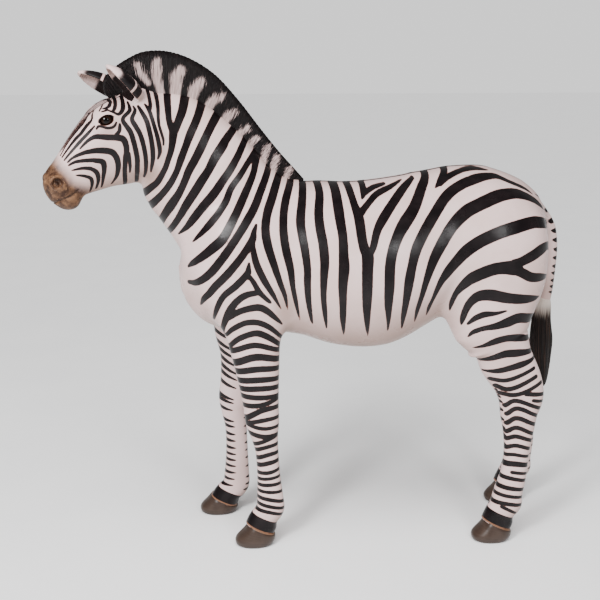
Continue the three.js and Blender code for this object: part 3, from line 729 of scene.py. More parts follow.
SHOULDER_STRIPES = (
    ((-158, 1184, 6), (-166, 1160, 15), (-173, 1133, 22), (-206, 1083, 22), (-252, 1025, 24),
     (-298, 975, 23), (-318, 948, 20), (-337, 925, 16), (-351, 893, 0)),
    ((-170, 1121, 14), (-170, 1106, 16), (-159, 1056, 20), (-135, 1002, 20), (-104, 948, 13),
     (-75, 893, 0)),
    ((-184, 1058, 4), (-186, 1041, 13), (-191, 1021, 20), (-229, 979, 21), (-271, 941, 18),
     (-295, 891, 14), (-309, 833, 0)),
    ((-187, 1018, 10), (-171, 995, 14), (-148, 956, 15), (-118, 925, 10), (-107, 918, 0)),
    ((-152, 957, 16), (-198, 946, 20), (-234, 916, 21), (-257, 875, 23), (-274, 825, 13),
     (-278, 770, 7)),
    ((-255, 866, 20), (-214, 890, 19), (-160, 903, 22), (-129, 893, 21), (-91, 858, 12),
     (-69, 833, 0)),
    ((-264, 796, 8), (-241, 823, 15), (-198, 847, 17), (-152, 847, 18), (-110, 824, 15),
     (-68, 780, 7)),
    ((-266, 738, 8), (-229, 783, 16), (-183, 806, 18), (-150, 808, 20), (-110, 786, 17),
     (-68, 748, 8)),
)
FLANK_STRIPES = (
    ((-52, 1365, 18), (-78, 1320, 24), (-103, 1260, 26), (-119, 1220, 26), (-127, 1172, 26),
     (-121, 1120, 26), (-98, 1045, 21), (-80, 990, 16), (-64, 945, 11), (-54, 893, 0)),
    ((-14, 1345, 18), (-33, 1310, 20), (-54, 1260, 24), (-65, 1206, 24), (-66, 1152, 25),
     (-58, 1095, 25), (-45, 1037, 21), (-37, 975, 14), (-25, 914, 10), (-11, 850, 0)),
    ((16, 1330, 20), (10, 1306, 22), (1, 1256, 24), (-8, 1200, 27), (-6, 1160, 26),
     (4, 1098, 24), (11, 1037, 21), (11, 990, 20), (15, 930, 16), (26, 864, 8), (33, 837, 0)),
    ((58, 1330, 22), (62, 1279, 24), (54, 1225, 27), (55, 1179, 28), (64, 1121, 28),
     (68, 1064, 27), (65, 1002, 21), (65, 941, 16), (72, 879, 12), (81, 818, 0)),
    ((112, 1330, 28), (117, 1295, 29), (120, 1245, 31), (124, 1198, 30), (130, 1145, 27),
     (131, 1090, 29), (132, 1045, 33), (128, 983, 27), (130, 921, 21), (133, 860, 16),
     (141, 795, 0)),
    ((160, 1330, 20), (166, 1293, 22), (175, 1248, 22), (187, 1205, 30), (193, 1145, 29),
     (200, 1110, 30), (211, 1085, 37), (210, 1033, 34), (210, 968, 32), (211, 906, 25),
     (216, 845, 14), (223, 793, 0)),
    ((192, 1216, 20), (216, 1241, 16), (254, 1273, 14), (300, 1292, 10), (355, 1315, 0)),
    ((215, 1080, 14), (230, 1114, 20), (245, 1164, 23), (268, 1202, 27), (309, 1251, 24),
     (348, 1289, 19), (392, 1321, 6)),
    ((217, 1330, 20), (216, 1300, 19), (211, 1275, 15), (203, 1259, 0)),
    ((212, 1274, 10), (246, 1291, 9), (292, 1303, 3)),
    ((446, 1350, 16), (432, 1321, 20), (409, 1288, 27), (376, 1232, 34), (340, 1187, 38),
     (315, 1148, 34), (295, 1098, 32), (286, 1045, 32), (285, 980, 31), (284, 920, 25),
     (288, 860, 11), (291, 808, 0)),
)
RUMP_STRIPES = (
    ((816, 1260, 0), (780, 1284, 5), (720, 1310, 7), (680, 1326, 11), (640, 1327, 18),
     (600, 1320, 24), (540, 1300, 26), (490, 1267, 29), (443, 1210, 32), (404, 1154, 33),
     (378, 1106, 33), (363, 1055, 29), (353, 1001, 30), (345, 930, 22), (340, 870, 15),
     (340, 816, 0)),
    ((520, 1365, 14), (500, 1338, 14), (479, 1313, 15), (457, 1293, 0)),
    ((477, 1304, 8), (510, 1327, 12), (560, 1344, 8), (608, 1350, 7), (660, 1344, 0)),
    ((862, 1205, 2), (820, 1239, 13), (780, 1260, 18), (740, 1273, 25), (700, 1274, 30),
     (660, 1267, 35), (600, 1243, 36), (551, 1218, 38), (503, 1173, 36), (464, 1115, 35),
     (437, 1066, 31), (414, 1001, 21), (400, 945, 15), (388, 890, 12), (384, 839, 0)),
    ((900, 1138, 14), (860, 1161, 23), (820, 1176, 32), (780, 1181, 36), (720, 1170, 39),
     (660, 1153, 38), (600, 1126, 38), (553, 1094, 38), (518, 1058, 34), (486, 1020, 30),
     (461, 981, 19), (440, 926, 10), (430, 896, 10), (425, 861, 0)),
    ((720, 1034, 50), (680, 1035, 41), (640, 1029, 38), (580, 1003, 37), (548, 976, 29),
     (523, 942, 17), (511, 905, 12), (508, 876, 0)),
    ((715, 1045, 34), (740, 1054, 30), (780, 1070, 34), (820, 1088, 34), (848, 1094, 25),
     (866, 1084, 19), (880, 1066, 22), (881, 1030, 2)),
    ((872, 1074, 16), (896, 1078, 14), (906, 1062, 10)),
    ((720, 1027, 30), (745, 1015, 30), (780, 997, 30), (820, 991, 25), (857, 986, 8)),
    ((824, 921, 0), (800, 919, 17), (760, 921, 29), (700, 928, 34), (640, 940, 37),
     (600, 936, 33), (574, 915, 25), (558, 885, 19), (549, 851, 14), (546, 828, 0)),
    ((567, 836, 6), (590, 857, 16), (620, 871, 18), (660, 875, 10), (707, 886, 0)),
    ((569, 786, 0), (587, 807, 13), (620, 821, 15), (660, 829, 21), (700, 841, 31),
     (740, 854, 33), (776, 849, 32), (800, 845, 28), (824, 838, 16)),
    ((589, 746, 0), (623, 757, 10), (660, 773, 20), (700, 783, 21), (740, 782, 24),
     (775, 776, 19), (802, 772, 12)),
    ((621, 697, 6), (660, 711, 18), (700, 725, 24), (740, 726, 25), (779, 725, 18),
     (802, 724, 14)),
    ((636, 656, 4), (680, 661, 16), (720, 671, 19), (760, 681, 21), (796, 690, 14),
     (816, 697, 8)),
)
DOCK_FRONT = 868        # X where the stripes of the rump end
DOCK_DASHES = (     # height and width at the rear edge of the dock
    (1216, 9), (1186, 13), (1152, 17), (1118, 16), (1084, 15), (1049, 15), (1018, 13),
    (987, 13), (961, 12), (934, 11), (911, 10), (890, 7),
)
# Bands around the legs: height at the front edge, on the outer side, at the rear edge, width.
FORE_BANDS = (
    (737, 767, 737, 17), (694, 724, 706, 23), (664, 679, 674, 20), (632, 639, 637, 19),
    (602, 606, 605, 18), (576, 572, 573, 16), (540, 544, 566, 15), (488, 524, 533, 17),
    (472, 487, 494, 13), (472, 456, 460, 11), (438, 424, 428, 15), (390, 408, 428, 12),
    (368, 383, 392, 12), (337, 353, 360, 13), (311, 321, 330, 14), (284, 285, 296, 11),
    (260, 262, 268, 9), (238, 238, 240, 10), (216, 211, 208, 9), (192, 182, 168, 11),
    (168, 156, 142, 10), (145, 134, 120, 10),
)
HIND_BANDS = (      # x and height at three places from front to rear, and the width
    ((661, 626), (720, 626), (815, 662), 13), ((682, 600), (730, 590), (824, 631), 15),
    ((698, 571), (760, 569), (846, 606), 13), ((789, 570), (820, 566), (862, 561), 13),
    ((720, 524), (757, 545), (846, 510), 13), ((818, 543), (835, 539), (862, 534), 9),
    ((727, 493), (764, 516), (840, 481), 13), ((729, 457), (764, 479), (836, 446), 14),
    ((731, 424), (765, 442), (830, 411), 13), ((731, 396), (765, 408), (826, 386), 13),
    ((729, 360), (765, 373), (824, 354), 12), ((728, 332), (760, 338), (820, 325), 10),
    ((712, 300), (765, 302), (822, 291), 18), ((755, 270), (780, 266), (818, 258), 9),
    ((708, 254), (755, 246), (812, 232), 12), ((700, 219), (750, 209), (808, 197), 13),
    ((694, 190), (740, 180), (806, 167), 10), ((686, 158), (740, 150), (804, 137), 12),
    ((722, 140), (745, 128), (776, 110), 9),
)
# Middle lines on the head seen from its side, each point (along the head, height, width).
FACE_STRIPES = (
    ((318, -33, 1), (305, -47, 5), (296, -59, 7), (289, -76, 10), (299, -94, 8),
     (318, -109, 3)),
    ((318, -12, 1), (293, -26, 6), (278, -38, 8), (266, -53, 10), (262, -75, 13),
     (272, -94, 10), (284, -106, 7), (296, -115, 4)),
    ((313, 6, 2), (287, -1, 7), (252, -26, 10), (237, -41, 13), (224, -60, 16),
     (237, -82, 13), (252, -97, 10), (280, -125, 3)),
    ((308, 15, 2), (287, 15, 5), (249, 4, 10), (211, -19, 16), (184, -47, 19),
     (180, -65, 18), (184, -82, 17), (193, -100, 15), (208, -118, 12), (225, -131, 8),
     (249, -140, 2)),
    ((249, 22, 2), (216, 25, 7), (196, 23, 10), (181, 16, 14), (162, -3, 17),
     (143, -21, 17), (128, -38, 19), (128, -53, 17), (137, -71, 16), (149, -85, 15),
     (166, -100, 13), (190, -132, 12), (208, -165, 12), (214, -176, 9)),
    ((146, -91, 12), (156, -109, 10), (166, -126, 8), (180, -146, 2)),
    ((134, -18, 10), (119, -15, 9), (109, -7, 9), (102, 1, 5)),
    ((168, 38, 3), (160, 41, 5), (154, 38, 5), (147, 28, 5), (140, 18, 6), (128, 10, 6),
     (117, 9, 5), (107, 13, 3)),
    ((311, 26, 2), (281, 31, 5), (252, 35, 7), (222, 39, 8), (193, 42, 7), (166, 48, 2)),
    ((309, 36, 2), (275, 44, 5), (240, 51, 8), (211, 54, 9), (181, 61, 10), (168, 63, 9),
     (156, 67, 7), (142, 75, 5), (127, 78, 2)),
    ((308, 42, 2), (263, 55, 3), (219, 64, 4), (181, 70, 4), (152, 77, 4), (142, 79, 2)),
    ((120, 72, 2), (112, 74, 4), (96, 75, 5), (78, 74, 6), (61, 71, 6)),
    ((117, 67, 2), (108, 63, 4), (100, 60, 3)),
    ((107, 71, 2), (99, 67, 7), (87, 64, 10), (78, 66, 9), (64, 68, 8), (47, 68, 8)),
    ((91, 47, 3), (81, 48, 8), (68, 54, 9), (58, 60, 9), (43, 63, 8), (28, 65, 5)),
    ((100, 66, 2), (97, 54, 3), (90, 41, 4), (84, 28, 6), (69, 26, 10), (55, 32, 12),
     (40, 44, 10), (28, 53, 8), (13, 57, 5)),
    ((30, 32, 3), (43, 12, 9), (58, 9, 9), (75, 9, 9), (87, 0, 11), (91, -32, 14),
     (96, -50, 14), (113, -85, 14), (134, -123, 14), (158, -156, 13), (178, -194, 10)),
    ((27, 12, 2), (31, 0, 7), (43, -6, 9), (58, -12, 10), (65, -26, 13), (72, -62, 13),
     (87, -97, 13), (108, -135, 12), (131, -168, 10), (152, -194, 4)),
    ((15, 1, 5), (19, -15, 10), (28, -50, 13), (46, -85, 13), (69, -123, 13),
     (93, -156, 12), (116, -179, 7), (127, -191, 2)),
    ((-6, -9, 3), (-4, -23, 8), (2, -41, 10), (19, -76, 10), (37, -112, 11), (58, -147, 11),
     (69, -159, 8), (84, -169, 2)),
    ((-4, -32, 9), (-19, -21, 9), (-36, -3, 9), (-48, 9, 9), (-60, 21, 8)),
    ((-81, 0, 10), (-60, -15, 11), (-45, -29, 10), (-31, -44, 9), (-16, -59, 8), (-1, -76, 7),
     (11, -94, 6), (28, -129, 5), (40, -144, 2)),
)
# Lines on the top of the head seen from above, each point (along the head, across, width).
CROWN_STRIPES = (
    ((20, 6, 1), (60, 7, 3), (110, 6, 3), (170, 6, 3), (230, 5, 3), (300, 4, 1)),
    ((10, 18, 2), (45, 21, 3), (95, 20, 3), (150, 17, 3), (215, 13, 3), (290, 10, 1)),
    ((5, 31, 2), (35, 35, 4), (80, 34, 4), (130, 28, 3), (190, 22, 3), (270, 16, 1)),
)


BLEED = 1.3     # how much wider the paint of a stripe runs on each side
BARE = -20.0    # value of skin without a stripe
FADE = 26       # what has to be taken from a stripe for it to be gone
DOCK_TOP = 1190     # under this height the stripes of the rump end at DOCK_FRONT
SPINE_START, SPINE_END, SPINE_HALF = -20, 866, 9    # the dark line along the back
FORE_TOP, HIND_TOP = 790, 690       # the bands of the legs end under these heights
BETWEEN_LEGS = 150                  # X between forelegs and hind legs
INNER_TOP = (840, 900)              # heights between which the inner sides turn bare downwards
INNER_DROP = (300, 420, 600), (4, 10, 32)   # heights, and how far an inner stroke falls there
PASTERN, STRIPES_END = 70, 40       # in the lowest 70 mm over a hoof no stripe comes under 40
HOOF_BAND = (3, 46)                 # the black band over a hoof


class Marks:
    """How far inside the nearest painted stripe each point of the skin lies, in millimetres."""

    def __init__(self, count):
        self.value = np.full(count, BARE)

    def add(self, points, line, chosen, less=0.0):
        """Raise the value along a line whose last column is the width of the stripe."""
        line = spline(line, 5)
        reach = line[:, -1].max() / 2 - BARE
        low, high = line[:, :-1].min(0) - reach, line[:, :-1].max(0) + reach
        near = chosen & np.all((points > low) & (points < high), axis=1)
        rows = np.nonzero(near)[0]
        if not len(rows):
            return
        gap, at = line_distance(points[rows], line[:, :-1])
        half = np.interp(at, np.arange(len(line)), line[:, -1]) / 2
        half = half + BLEED * np.minimum(half / 1.2, 1)
        lost = less[rows] if np.ndim(less) else less
        self.value[rows] = np.maximum(self.value[rows], half - gap - lost)

    def cover(self, chosen, value):
        """Raise the chosen points to a value."""
        self.value = raised(self.value, chosen, value)


def smooth_step(value, low, high):
    t = np.clip((value - low) / (high - low), 0, 1)
    return t * t * (3 - 2 * t)


def fade(value, low, high):
    return FADE * smooth_step(value, low, high)


def raised(values, chosen, to):
    """The values, with the chosen ones no lower than `to`."""
    return np.where(chosen, np.maximum(values, to), values)


def leg_section(rows, move, z):
    """The leg's front and rear edges, distance from the midline and half width."""
    x, out, rear, front, half = (np.interp(-z, -np.array([r[2] for r in rows]),
                                           [r[k] for r in rows]) for k in (0, 1, 3, 4, 5))
    x = x + shifts(move, z)[0]
    return x - front, x + rear, out, half


def leg_marks(marks, points, side):
    """Bands round the outer side of the legs, and short strokes on the inner side's front."""
    flat = points[:, (0, 2)]
    for rows, bands, move, top in ((FORELEG, FORE_BANDS, RIGHT_FORE_MOVE, FORE_TOP),
                                   (HINDLEG, HIND_BANDS, RIGHT_HIND_MOVE, HIND_TOP)):
        move = move if side > 0 else None
        front, rear, out, half = leg_section(rows, move, points[:, 2])
        inner = (out - side * points[:, 1]) / half
        chosen = (side * points[:, 1] > 0) & (points[:, 2] < top)
        chosen &= (points[:, 0] > front - 60) & (points[:, 0] < rear + 60)
        for *places, width in bands:
            if rows is FORELEG:
                places = [(None, z) for z in places]
            line = []
            for k, (at, z) in enumerate(places):
                ahead, behind, _, _ = leg_section(rows, None, z)
                at = (ahead - 4, (ahead + behind) / 2, behind + 4)[k] if at is None else at
                along, rise = shifts(move, z)
                line.append((at + along, z + rise, width * (1, 1, 0.75)[k]))
            marks.add(flat, line, chosen, fade(inner, 0.0, 0.45))
            z0 = line[0][1]
            drop = np.interp(z0, *INNER_DROP)
            ahead, behind, _, _ = leg_section(rows, move, z0)
            span = behind - ahead
            slim = min(width, 12)
            stroke = [(ahead - 5, z0 + 0.25 * drop, slim),
                      (ahead + 0.2 * span, z0 - 0.5 * drop, slim * 0.7),
                      (ahead + 0.46 * span, z0 - 1.1 * drop, 0.5)]
            marks.add(flat, stroke, chosen, fade(-inner, -0.1, 0.3))
            tick = [(behind + 4, line[2][1], slim), (behind - 0.16 * span, line[2][1], 0)]
            marks.add(flat, tick, chosen, fade(-inner, 0.1, 0.5))
            if rows is HINDLEG and 340 < z0 < 640:
                dab = [(ahead - 5, z0 + 12, slim * 0.8), (ahead + 0.12 * span, z0 + 7, 1)]
                marks.add(flat, dab, chosen, fade(-inner, 0.4, 0.9))


def body_marks(marks, points, forms):
    """Stripes of neck, shoulder, flank, rump, legs and dock, and the line along the back."""
    neck = neck_loft().distance(points)
    off_head = form_distance(head_forms(), points, FAR_OFF) > neck - 1
    off_head |= in_head(points)[:, 0] < -5
    for side in (-1, 1):
        flat = points[:, (0, 2)].copy()
        if side > 0:
            for rows, move in ((FORELEG, RIGHT_FORE_MOVE), (HINDLEG, RIGHT_HIND_MOVE)):
                front, rear, _, _ = leg_section(rows, move, flat[:, 1])
                away = np.maximum(front - flat[:, 0], flat[:, 0] - rear)
                share = 1 - smooth_step(away, 0, 120)
                along, rise = shifts(move, points[:, 2])
                flat[:, 0] -= share * along
                flat[:, 1] -= share * rise
            # the right side's stripes bend a little, so that they aren't a plain mirror image
            flat[:, 0] += 7 * np.sin(points[:, 2] * 0.017 + 0.8)
            flat[:, 1] += 6 * np.sin(points[:, 0] * 0.013)
        here = side * points[:, 1] >= (-1 if side < 0 else 0)
        inner = np.where(points[:, 0] < BETWEEN_LEGS, inside_of(FORELEG, points, side),
                         inside_of(HINDLEG, points, side))
        low = 1 - smooth_step(points[:, 2], *INNER_TOP)
        less = FADE * low * smooth_step(inner, 0.0, 0.5)
        less = less + fade(points[:, 0] - DOCK_FRONT, 0, 6) * (points[:, 2] < DOCK_TOP)
        for line in NECK_STRIPES:
            marks.add(flat, line, here & off_head)
        for line in SHOULDER_STRIPES + FLANK_STRIPES + RUMP_STRIPES:
            marks.add(flat, line, here, less)
        leg_marks(marks, points, side)
    dock = np.array(DOCK)[::-1]
    for z, width in DOCK_DASHES:
        x, rear, half = (np.interp(z, dock[:, 1], dock[:, k]) for k in (0, 2, 4))
        for side in (-1, 1):
            line = np.array([
                (x + rear * math.cos(turn), side * half * math.sin(turn), z + rise, wide)
                for turn, rise, wide in ((0.1, 0, width), (0.8, 1, width * 0.85), (1.35, 4, 1))])
            line[:, :3] = settle(lambda p: form_distance(forms, p, FAR_OFF), line[:, :3], 4)
            marks.add(points, line, side * points[:, 1] >= -1)
    x, y, z = points.T
    spine = (z > DOCK_TOP) & (x > SPINE_START) & (x < SPINE_END)
    marks.cover(spine, SPINE_HALF - np.abs(y))


def inside_of(rows, points, side):
    """How far a point lies on the inner side of its leg, in half widths."""
    _, _, out, half = leg_section(rows, None, points[:, 2])
    return (out - side * points[:, 1]) / half


def lift(forms, starts, way):
    """Move points along a direction onto the surface of the forms."""
    points, low = starts.copy(), np.full(len(starts), 1e9)
    best = starts.copy()
    for _ in range(60):
        gap = form_distance(forms, points, FAR_OFF)
        closer = np.abs(gap) < low
        best[closer], low[closer] = points[closer], np.abs(gap[closer])
        points = points + way * (gap * 0.8)[:, None]
    return settle(lambda p: form_distance(forms, p), best, 3)


def head_marks(marks, points, forms):
    """Stripes of the face, laid on from the side, and of the crown, laid on from above."""
    u, _, w = in_head(points).T
    near = (u > -110) & (u < 345) & (w > -230)
    for side in (1, -1):
        for stripes, way in ((FACE_STRIPES, -side * ACROSS), (CROWN_STRIPES, -ABOVE)):
            for stripe in stripes:
                line = spline(stripe, 4)
                if stripes is FACE_STRIPES:
                    starts = [head(along, side * 130, high) for along, high, _ in line]
                else:
                    starts = [head(along, side * aside, 130) for along, aside, _ in line]
                placed = lift(forms, np.array(starts), way)
                marks.add(points, np.hstack([placed, line[:, 2:]])[::2], near)


def eye_marks(marks, points):
    """A dark line round the gap of the lids, thicker above it."""
    for side in (1, -1):
        _, gap = eye_points(side)
        local = (points - gap) @ lid_axes().T
        ring = np.hypot(local[:, 0] / EYE_GAP_SIZE[0], local[:, 2] / EYE_GAP_SIZE[2])
        line = (1.06 + 0.06 * np.sign(local[:, 2]) - ring) * 18
        marks.cover(np.abs(local[:, 1]) < 45, np.clip(line, BARE, 4))


def ear_marks(marks, points):
    """Bands on the backs of the ears; returns the painted shade in the hollows, and a dark fade
    past the first band.
    """
    hollow = np.zeros(len(points))
    for ear, (slant, bands) in zip(EARS, EAR_BANDS):
        cup = Cup(*ear)
        base = head(*ear[0])
        length = np.linalg.norm(head(*ear[1]) - base)
        along = (points - base) @ cup.axis / length
        near = (cup.outer.distance(points) < 4) & (along > 0.05)
        depth = cup.inner.distance(points)
        half = np.interp(along, [row[0] for row in EAR], [row[3] for row in EAR])
        aside = (points - base) @ np.cross(cup.axis, cup.front) / half
        lean = along - slant * np.interp(aside, *EAR_SLANT) + 0.012 * np.sin(aside * 9)
        for low, high in bands:
            band = np.minimum(lean - low, high - lean) * length
            marks.cover(near, np.minimum(band, depth - EAR_RIM))
        # painted shade deep in the lower, inner part of each ear's hollow
        painted_hollow_shade = (1 - smooth_step(along, 0.5, 0.66)) * (1 - smooth_step(aside, 0.2, 0.6))
        painted_hollow_shade *= 1 - smooth_step(depth, 1.0, 3.5)
        hollow = raised(hollow, near, painted_hollow_shade)
        end = bands[0][1]
        sooty = 0.8 * smooth_step(lean, end - 0.04, end) * (1 - smooth_step(lean, end, end + 0.14))
        hollow = raised(hollow, near & (depth >= EAR_RIM), sooty)
    return hollow


def blob(points, centre, radii, axes=WORLD):
    """A soft spot: 1 at its centre, 0 at its radii and beyond."""
    scaled = (points - np.asarray(centre)) @ np.asarray(axes).T / radii
    return np.clip(1 - (scaled**2).sum(1), 0, 1)


SHADES = (      # x, y, z, radii, strength: painted shade under the body, behind the jaw, at the throat, armpits, groin and between the legs, and a warmer sprayed tone along the back
    (-505, -40, 1345, 60, 150, 70, 1.0), (-470, -30, 1430, 45, 150, 100, 0.8),
    (-330, 0, 1590, 260, 70, 80, 0.6), (-150, 0, 1430, 180, 70, 110, 0.6),
    (-60, -170, 900, 60, 140, 120, 0.8), (-60, 170, 900, 60, 140, 120, 0.8),
    (480, -170, 870, 110, 160, 110, 0.55), (480, 170, 870, 110, 160, 110, 0.55),
    (840, 0, 1050, 90, 170, 220, 0.5), (180, 0, 725, 480, 170, 95, 1.0),
    (-10, 0, 1290, 140, 110, 80, 0.35), (650, 0, 1300, 280, 110, 80, 0.4),
    (910, 0, 900, 60, 60, 90, 0.7), (-350, 0, 900, 90, 130, 130, 0.35),
    (-500, -35, 1590, 60, 110, 50, 0.5),
)
UNDERSIDE = np.array((0.35, 0, -0.94))      # the way the shaded sides of the body face
UNDERSIDE_PAINTED_SHADE = 0.9
MOUTH = (      # places along the head, and the height of the mouth's line there
    (343, 358, 375, 393, 411, 427),
    (-71, -75, -72, -65, -59, -53),
)


def coat_layers(piece, points):
    """Write what the coat's paint reads: stripe, the painted shade with its warmer tone, brown,
    dark and rim.
    """
    forms = body_forms()
    marks = Marks(len(points))
    body_marks(marks, points, forms)
    head_marks(marks, points, forms)
    eye_marks(marks, points)
    hollow = ear_marks(marks, points)
    rim = np.full(len(points), 100.0)
    for name in FEET:
        point, normal = coronet(name)
        above = (points - point) @ normal
        rim = np.where(beside(points, point, 110), np.minimum(rim, above), rim)
    ended = np.minimum(marks.value, rim - STRIPES_END)
    marks.value = np.where(rim < PASTERN, ended, marks.value)
    marks.value = np.maximum(marks.value, np.minimum(rim - HOOF_BAND[0], HOOF_BAND[1] - rim))
    u, v, w = in_head(points).T
    face = (u > 200) & (np.abs(v) < 120) & (w > -250)
    brown = smooth_step(u + 0.25 * np.abs(w + 40) - 0.1 * w, 318, 372) * face
    lips = np.exp(-((w - np.interp(u, *MOUTH)) / 6.5) ** 2) * face * smooth_step(u, 330, 350)
    corner = blob(points * (1, 0, 1), head(366, 0, -60) * (1, 0, 1), (30, 400, 24))
    holes = sum(blob(points, on_side(forms, 379, -6, side), (17, 26, 16), HEAD_AXES)
                for side in (1, -1))
    # painted shade in the body's hollows and under it, and a warmer sprayed tone on the back
    painted_shade_and_tone = np.zeros(len(points))
    for x, y, z, rx, ry, rz, strength in SHADES:
        painted_shade_and_tone = np.maximum(painted_shade_and_tone, strength * blob(points, (x, y, z), (rx, ry, rz)))
    facing = np.empty(points.size, np.float32)
    piece.data.vertex_normals.foreach_get("vector", facing)
    under = facing.reshape(-1, 3) @ UNDERSIDE
    # painted shade, darker the more a side of the body faces down
    painted_shade_and_tone = np.maximum(painted_shade_and_tone, UNDERSIDE_PAINTED_SHADE * smooth_step(under, -0.1, 0.95))
    write(piece, "stripe", np.clip(marks.value, BARE, -BARE))
    write(piece, "painted_shade_and_tone", painted_shade_and_tone)
    write(piece, "brown", brown)
    # dark: painted shade in the ear hollows, with the lips, nostrils and mouth corners darkened
    write(piece, "dark", np.clip(hollow + 0.5 * lips + 0.6 * holes + 0.22 * corner, 0, 1))
    write(piece, "rim", np.clip(rim, BARE, -BARE))


# ------------------------------------------------------------------ mane, tuft, hooves and eyes
MANE = (       # foot x, y, z; ridge x, y, z; half thickness at the foot and near the ridge
    (-630, -58, 1586, -655, -64, 1614, 9, 7),
    (-616, -54, 1602, -656, -63, 1655, 11, 7),
    (-592, -50, 1610, -628, -58, 1691, 18, 9),
    (-552, -42, 1614, -582, -44, 1723, 23, 10),
    (-512, -34, 1612, -522, -34, 1749, 32, 11),
    (-452, -24, 1600, -445, -24, 1750, 33, 11),
    (-386, -14, 1582, -365, -14, 1724, 33, 11),
    (-320, -5, 1544, -283, -5, 1670, 32, 11),
    (-254, 0, 1482, -205, 0, 1584, 30, 11),
    (-184, 0, 1420, -133, 0, 1490, 27, 11),
    (-112, 0, 1360, -70, 0, 1411, 24, 10),
    (-50, 0, 1310, -12, 0, 1346, 21, 9),
    (4, 0, 1287, 18, 0, 1312, 16, 8),
)
MANE_PATCHES = (      # pale patches, from their brushed tips down to the mane's foot: x, z, width
    ((-542, 1703, 17), (-536, 1685, 20), (-524, 1667, 16), (-508, 1645, 12)),
    ((-478, 1715, 20), (-480, 1690, 23), (-481, 1667, 23), (-475, 1644, 22), (-466, 1608, 20)),
    ((-400, 1689, 22), (-409, 1672, 30), (-414, 1659, 34), (-418, 1642, 35), (-421, 1600, 30)),
    ((-331, 1651, 17), (-342, 1638, 25), (-350, 1629, 30), (-358, 1619, 31), (-366, 1588, 27)),
    ((-263, 1602, 13), (-284, 1590, 22), (-300, 1579, 26), (-318, 1556, 26)),
    ((-221, 1545, 16), (-238, 1535, 22), (-250, 1527, 25), (-268, 1500, 25)),
    ((-178, 1491, 13), (-196, 1481, 16), (-216, 1460, 20)),
    ((-146, 1456, 13), (-163, 1444, 15), (-176, 1418, 16)),
    ((-106, 1425, 13), (-117, 1408, 16), (-124, 1376, 18)),
    ((-77, 1389, 16), (-88, 1363, 18), (-92, 1340, 18)),
    ((-30, 1350, 13), (-44, 1326, 16), (-48, 1300, 16)),
)
TUFT = (       # x, z, reach back, reach forward, half width
    (902, 876, 8, 8, 8),
    (902, 868, 20, 19, 18),
    (898, 842, 30, 29, 25),
    (895, 782, 36, 36, 31),
    (898, 712, 43, 43, 35),
    (901, 647, 38, 38, 32),
    (908, 587, 26, 26, 24),
    (914, 547, 14, 14, 13),
    (916, 528, 5, 5, 5),
)


TUFT_SIDES, TUFT_STEP = 150, 4      # the step is in millimetres of the profile of locks
HOOF_SIDES, HOOF_SQUARENESS = 96, 0.87
EYE_SIDES, EYE_RINGS = 64, 40


def strands(length, seed, widths=((12, 1.0), (4.5, 0.45))):
    """A profile of hair locks, one value for each millimetre: 0 on a lock, lower between."""
    rng = np.random.default_rng(seed)
    at = np.arange(int(length) + 60)
    profile = np.zeros(len(at))
    for width, depth in widths:
        starts = np.cumsum(rng.uniform(0.6, 1.4, int(len(at) / width * 2) + 4) * width)
        lock = np.searchsorted(starts, at)
        begin = np.concatenate([[0], starts])[lock]
        share = (at - begin) / (starts[lock] - begin)
        profile += depth * (np.abs(np.sin(math.pi * share)) ** 0.6 - 1)
    return profile


def sample(locks, at):
    return np.interp(at, np.arange(len(locks)), locks)


def turns(count):
    """Angles once round."""
    return np.arange(count) * 2 * math.pi / count


def make_mane():
    """The ridge of the mane: columns from its foot up the left side and down the right."""
    sides = [-ACROSS if row[0] < -560 else WORLD[1] for row in MANE]
    rows = spline([(*row, *side) for row, side in zip(MANE, sides)], 56)
    foot, ridge, thick, side = rows[:, :3], rows[:, 3:6], rows[:, 6:8], rows[:, 8:11]
    rise = ridge - foot
    travel = np.linalg.norm(np.gradient((foot + ridge) / 2, axis=0), axis=1)
    run = np.cumsum(travel)
    normal = np.cross(np.cross(rise, side), rise)
    normal /= np.linalg.norm(normal, axis=1, keepdims=True)
    high = np.sin(np.linspace(0, 1, 30) * math.pi / 2) * 1.12 - 0.12
    crest = sample(strands(run[-1], 5), run)
    tall = 1 + 0.012 * crest * np.minimum(1, run / 60)
    columns, ups = [], []
    for sign, seed in ((-1, 11), (1, 12)):
        locks = sample(strands(run[-1], seed), run)
        for h in (high if sign < 0 else high[-2::-1]):
            above = max(h, 0)
            half = thick[:, 0] + (thick[:, 1] - thick[:, 0]) * above
            close = math.sqrt(max(1 - (max(h - 0.84, 0) / 0.16) ** 2, 0))
            groove = 1.5 * min(1, above / 0.3) * locks * (0.25 + 0.75 * close)
            across = half * close + groove * (close > 0.02)
            columns.append(foot + rise * (h * tall)[:, None]
                           + normal * (sign * across)[:, None])
            ups.append(np.full(len(run), above))
    vertices, faces = grid_faces(np.stack(columns, 1))
    piece = make_mesh("mane_hair", vertices, faces)
    write(piece, "along", np.stack([run] * len(ups), 1).ravel())
    write(piece, "up", np.stack(ups, 1).ravel())
    patches = Marks(len(vertices))
    everywhere = np.ones(len(vertices), bool)
    for line in MANE_PATCHES:
        patches.add(vertices[:, (0, 2)], line, everywhere)
    write(piece, "patch", patches.value)
    return piece


def grid_faces(grid, closed=False):
    """Vertices and quads of a grid of points; closed joins the last column to the first."""
    rows, columns = grid.shape[:2]
    index = np.arange(rows * columns).reshape(rows, columns)
    if closed:
        index = np.hstack([index, index[:, :1]])
    a, b = index[:-1, :-1].ravel(), index[1:, :-1].ravel()
    c, d = index[1:, 1:].ravel(), index[:-1, 1:].ravel()
    faces = np.stack([a, b, c, d], -1).tolist()
    faces.append(index[0, :columns].tolist())
    faces.append(index[-1, :columns][::-1].tolist())
    return grid.reshape(-1, 3), faces


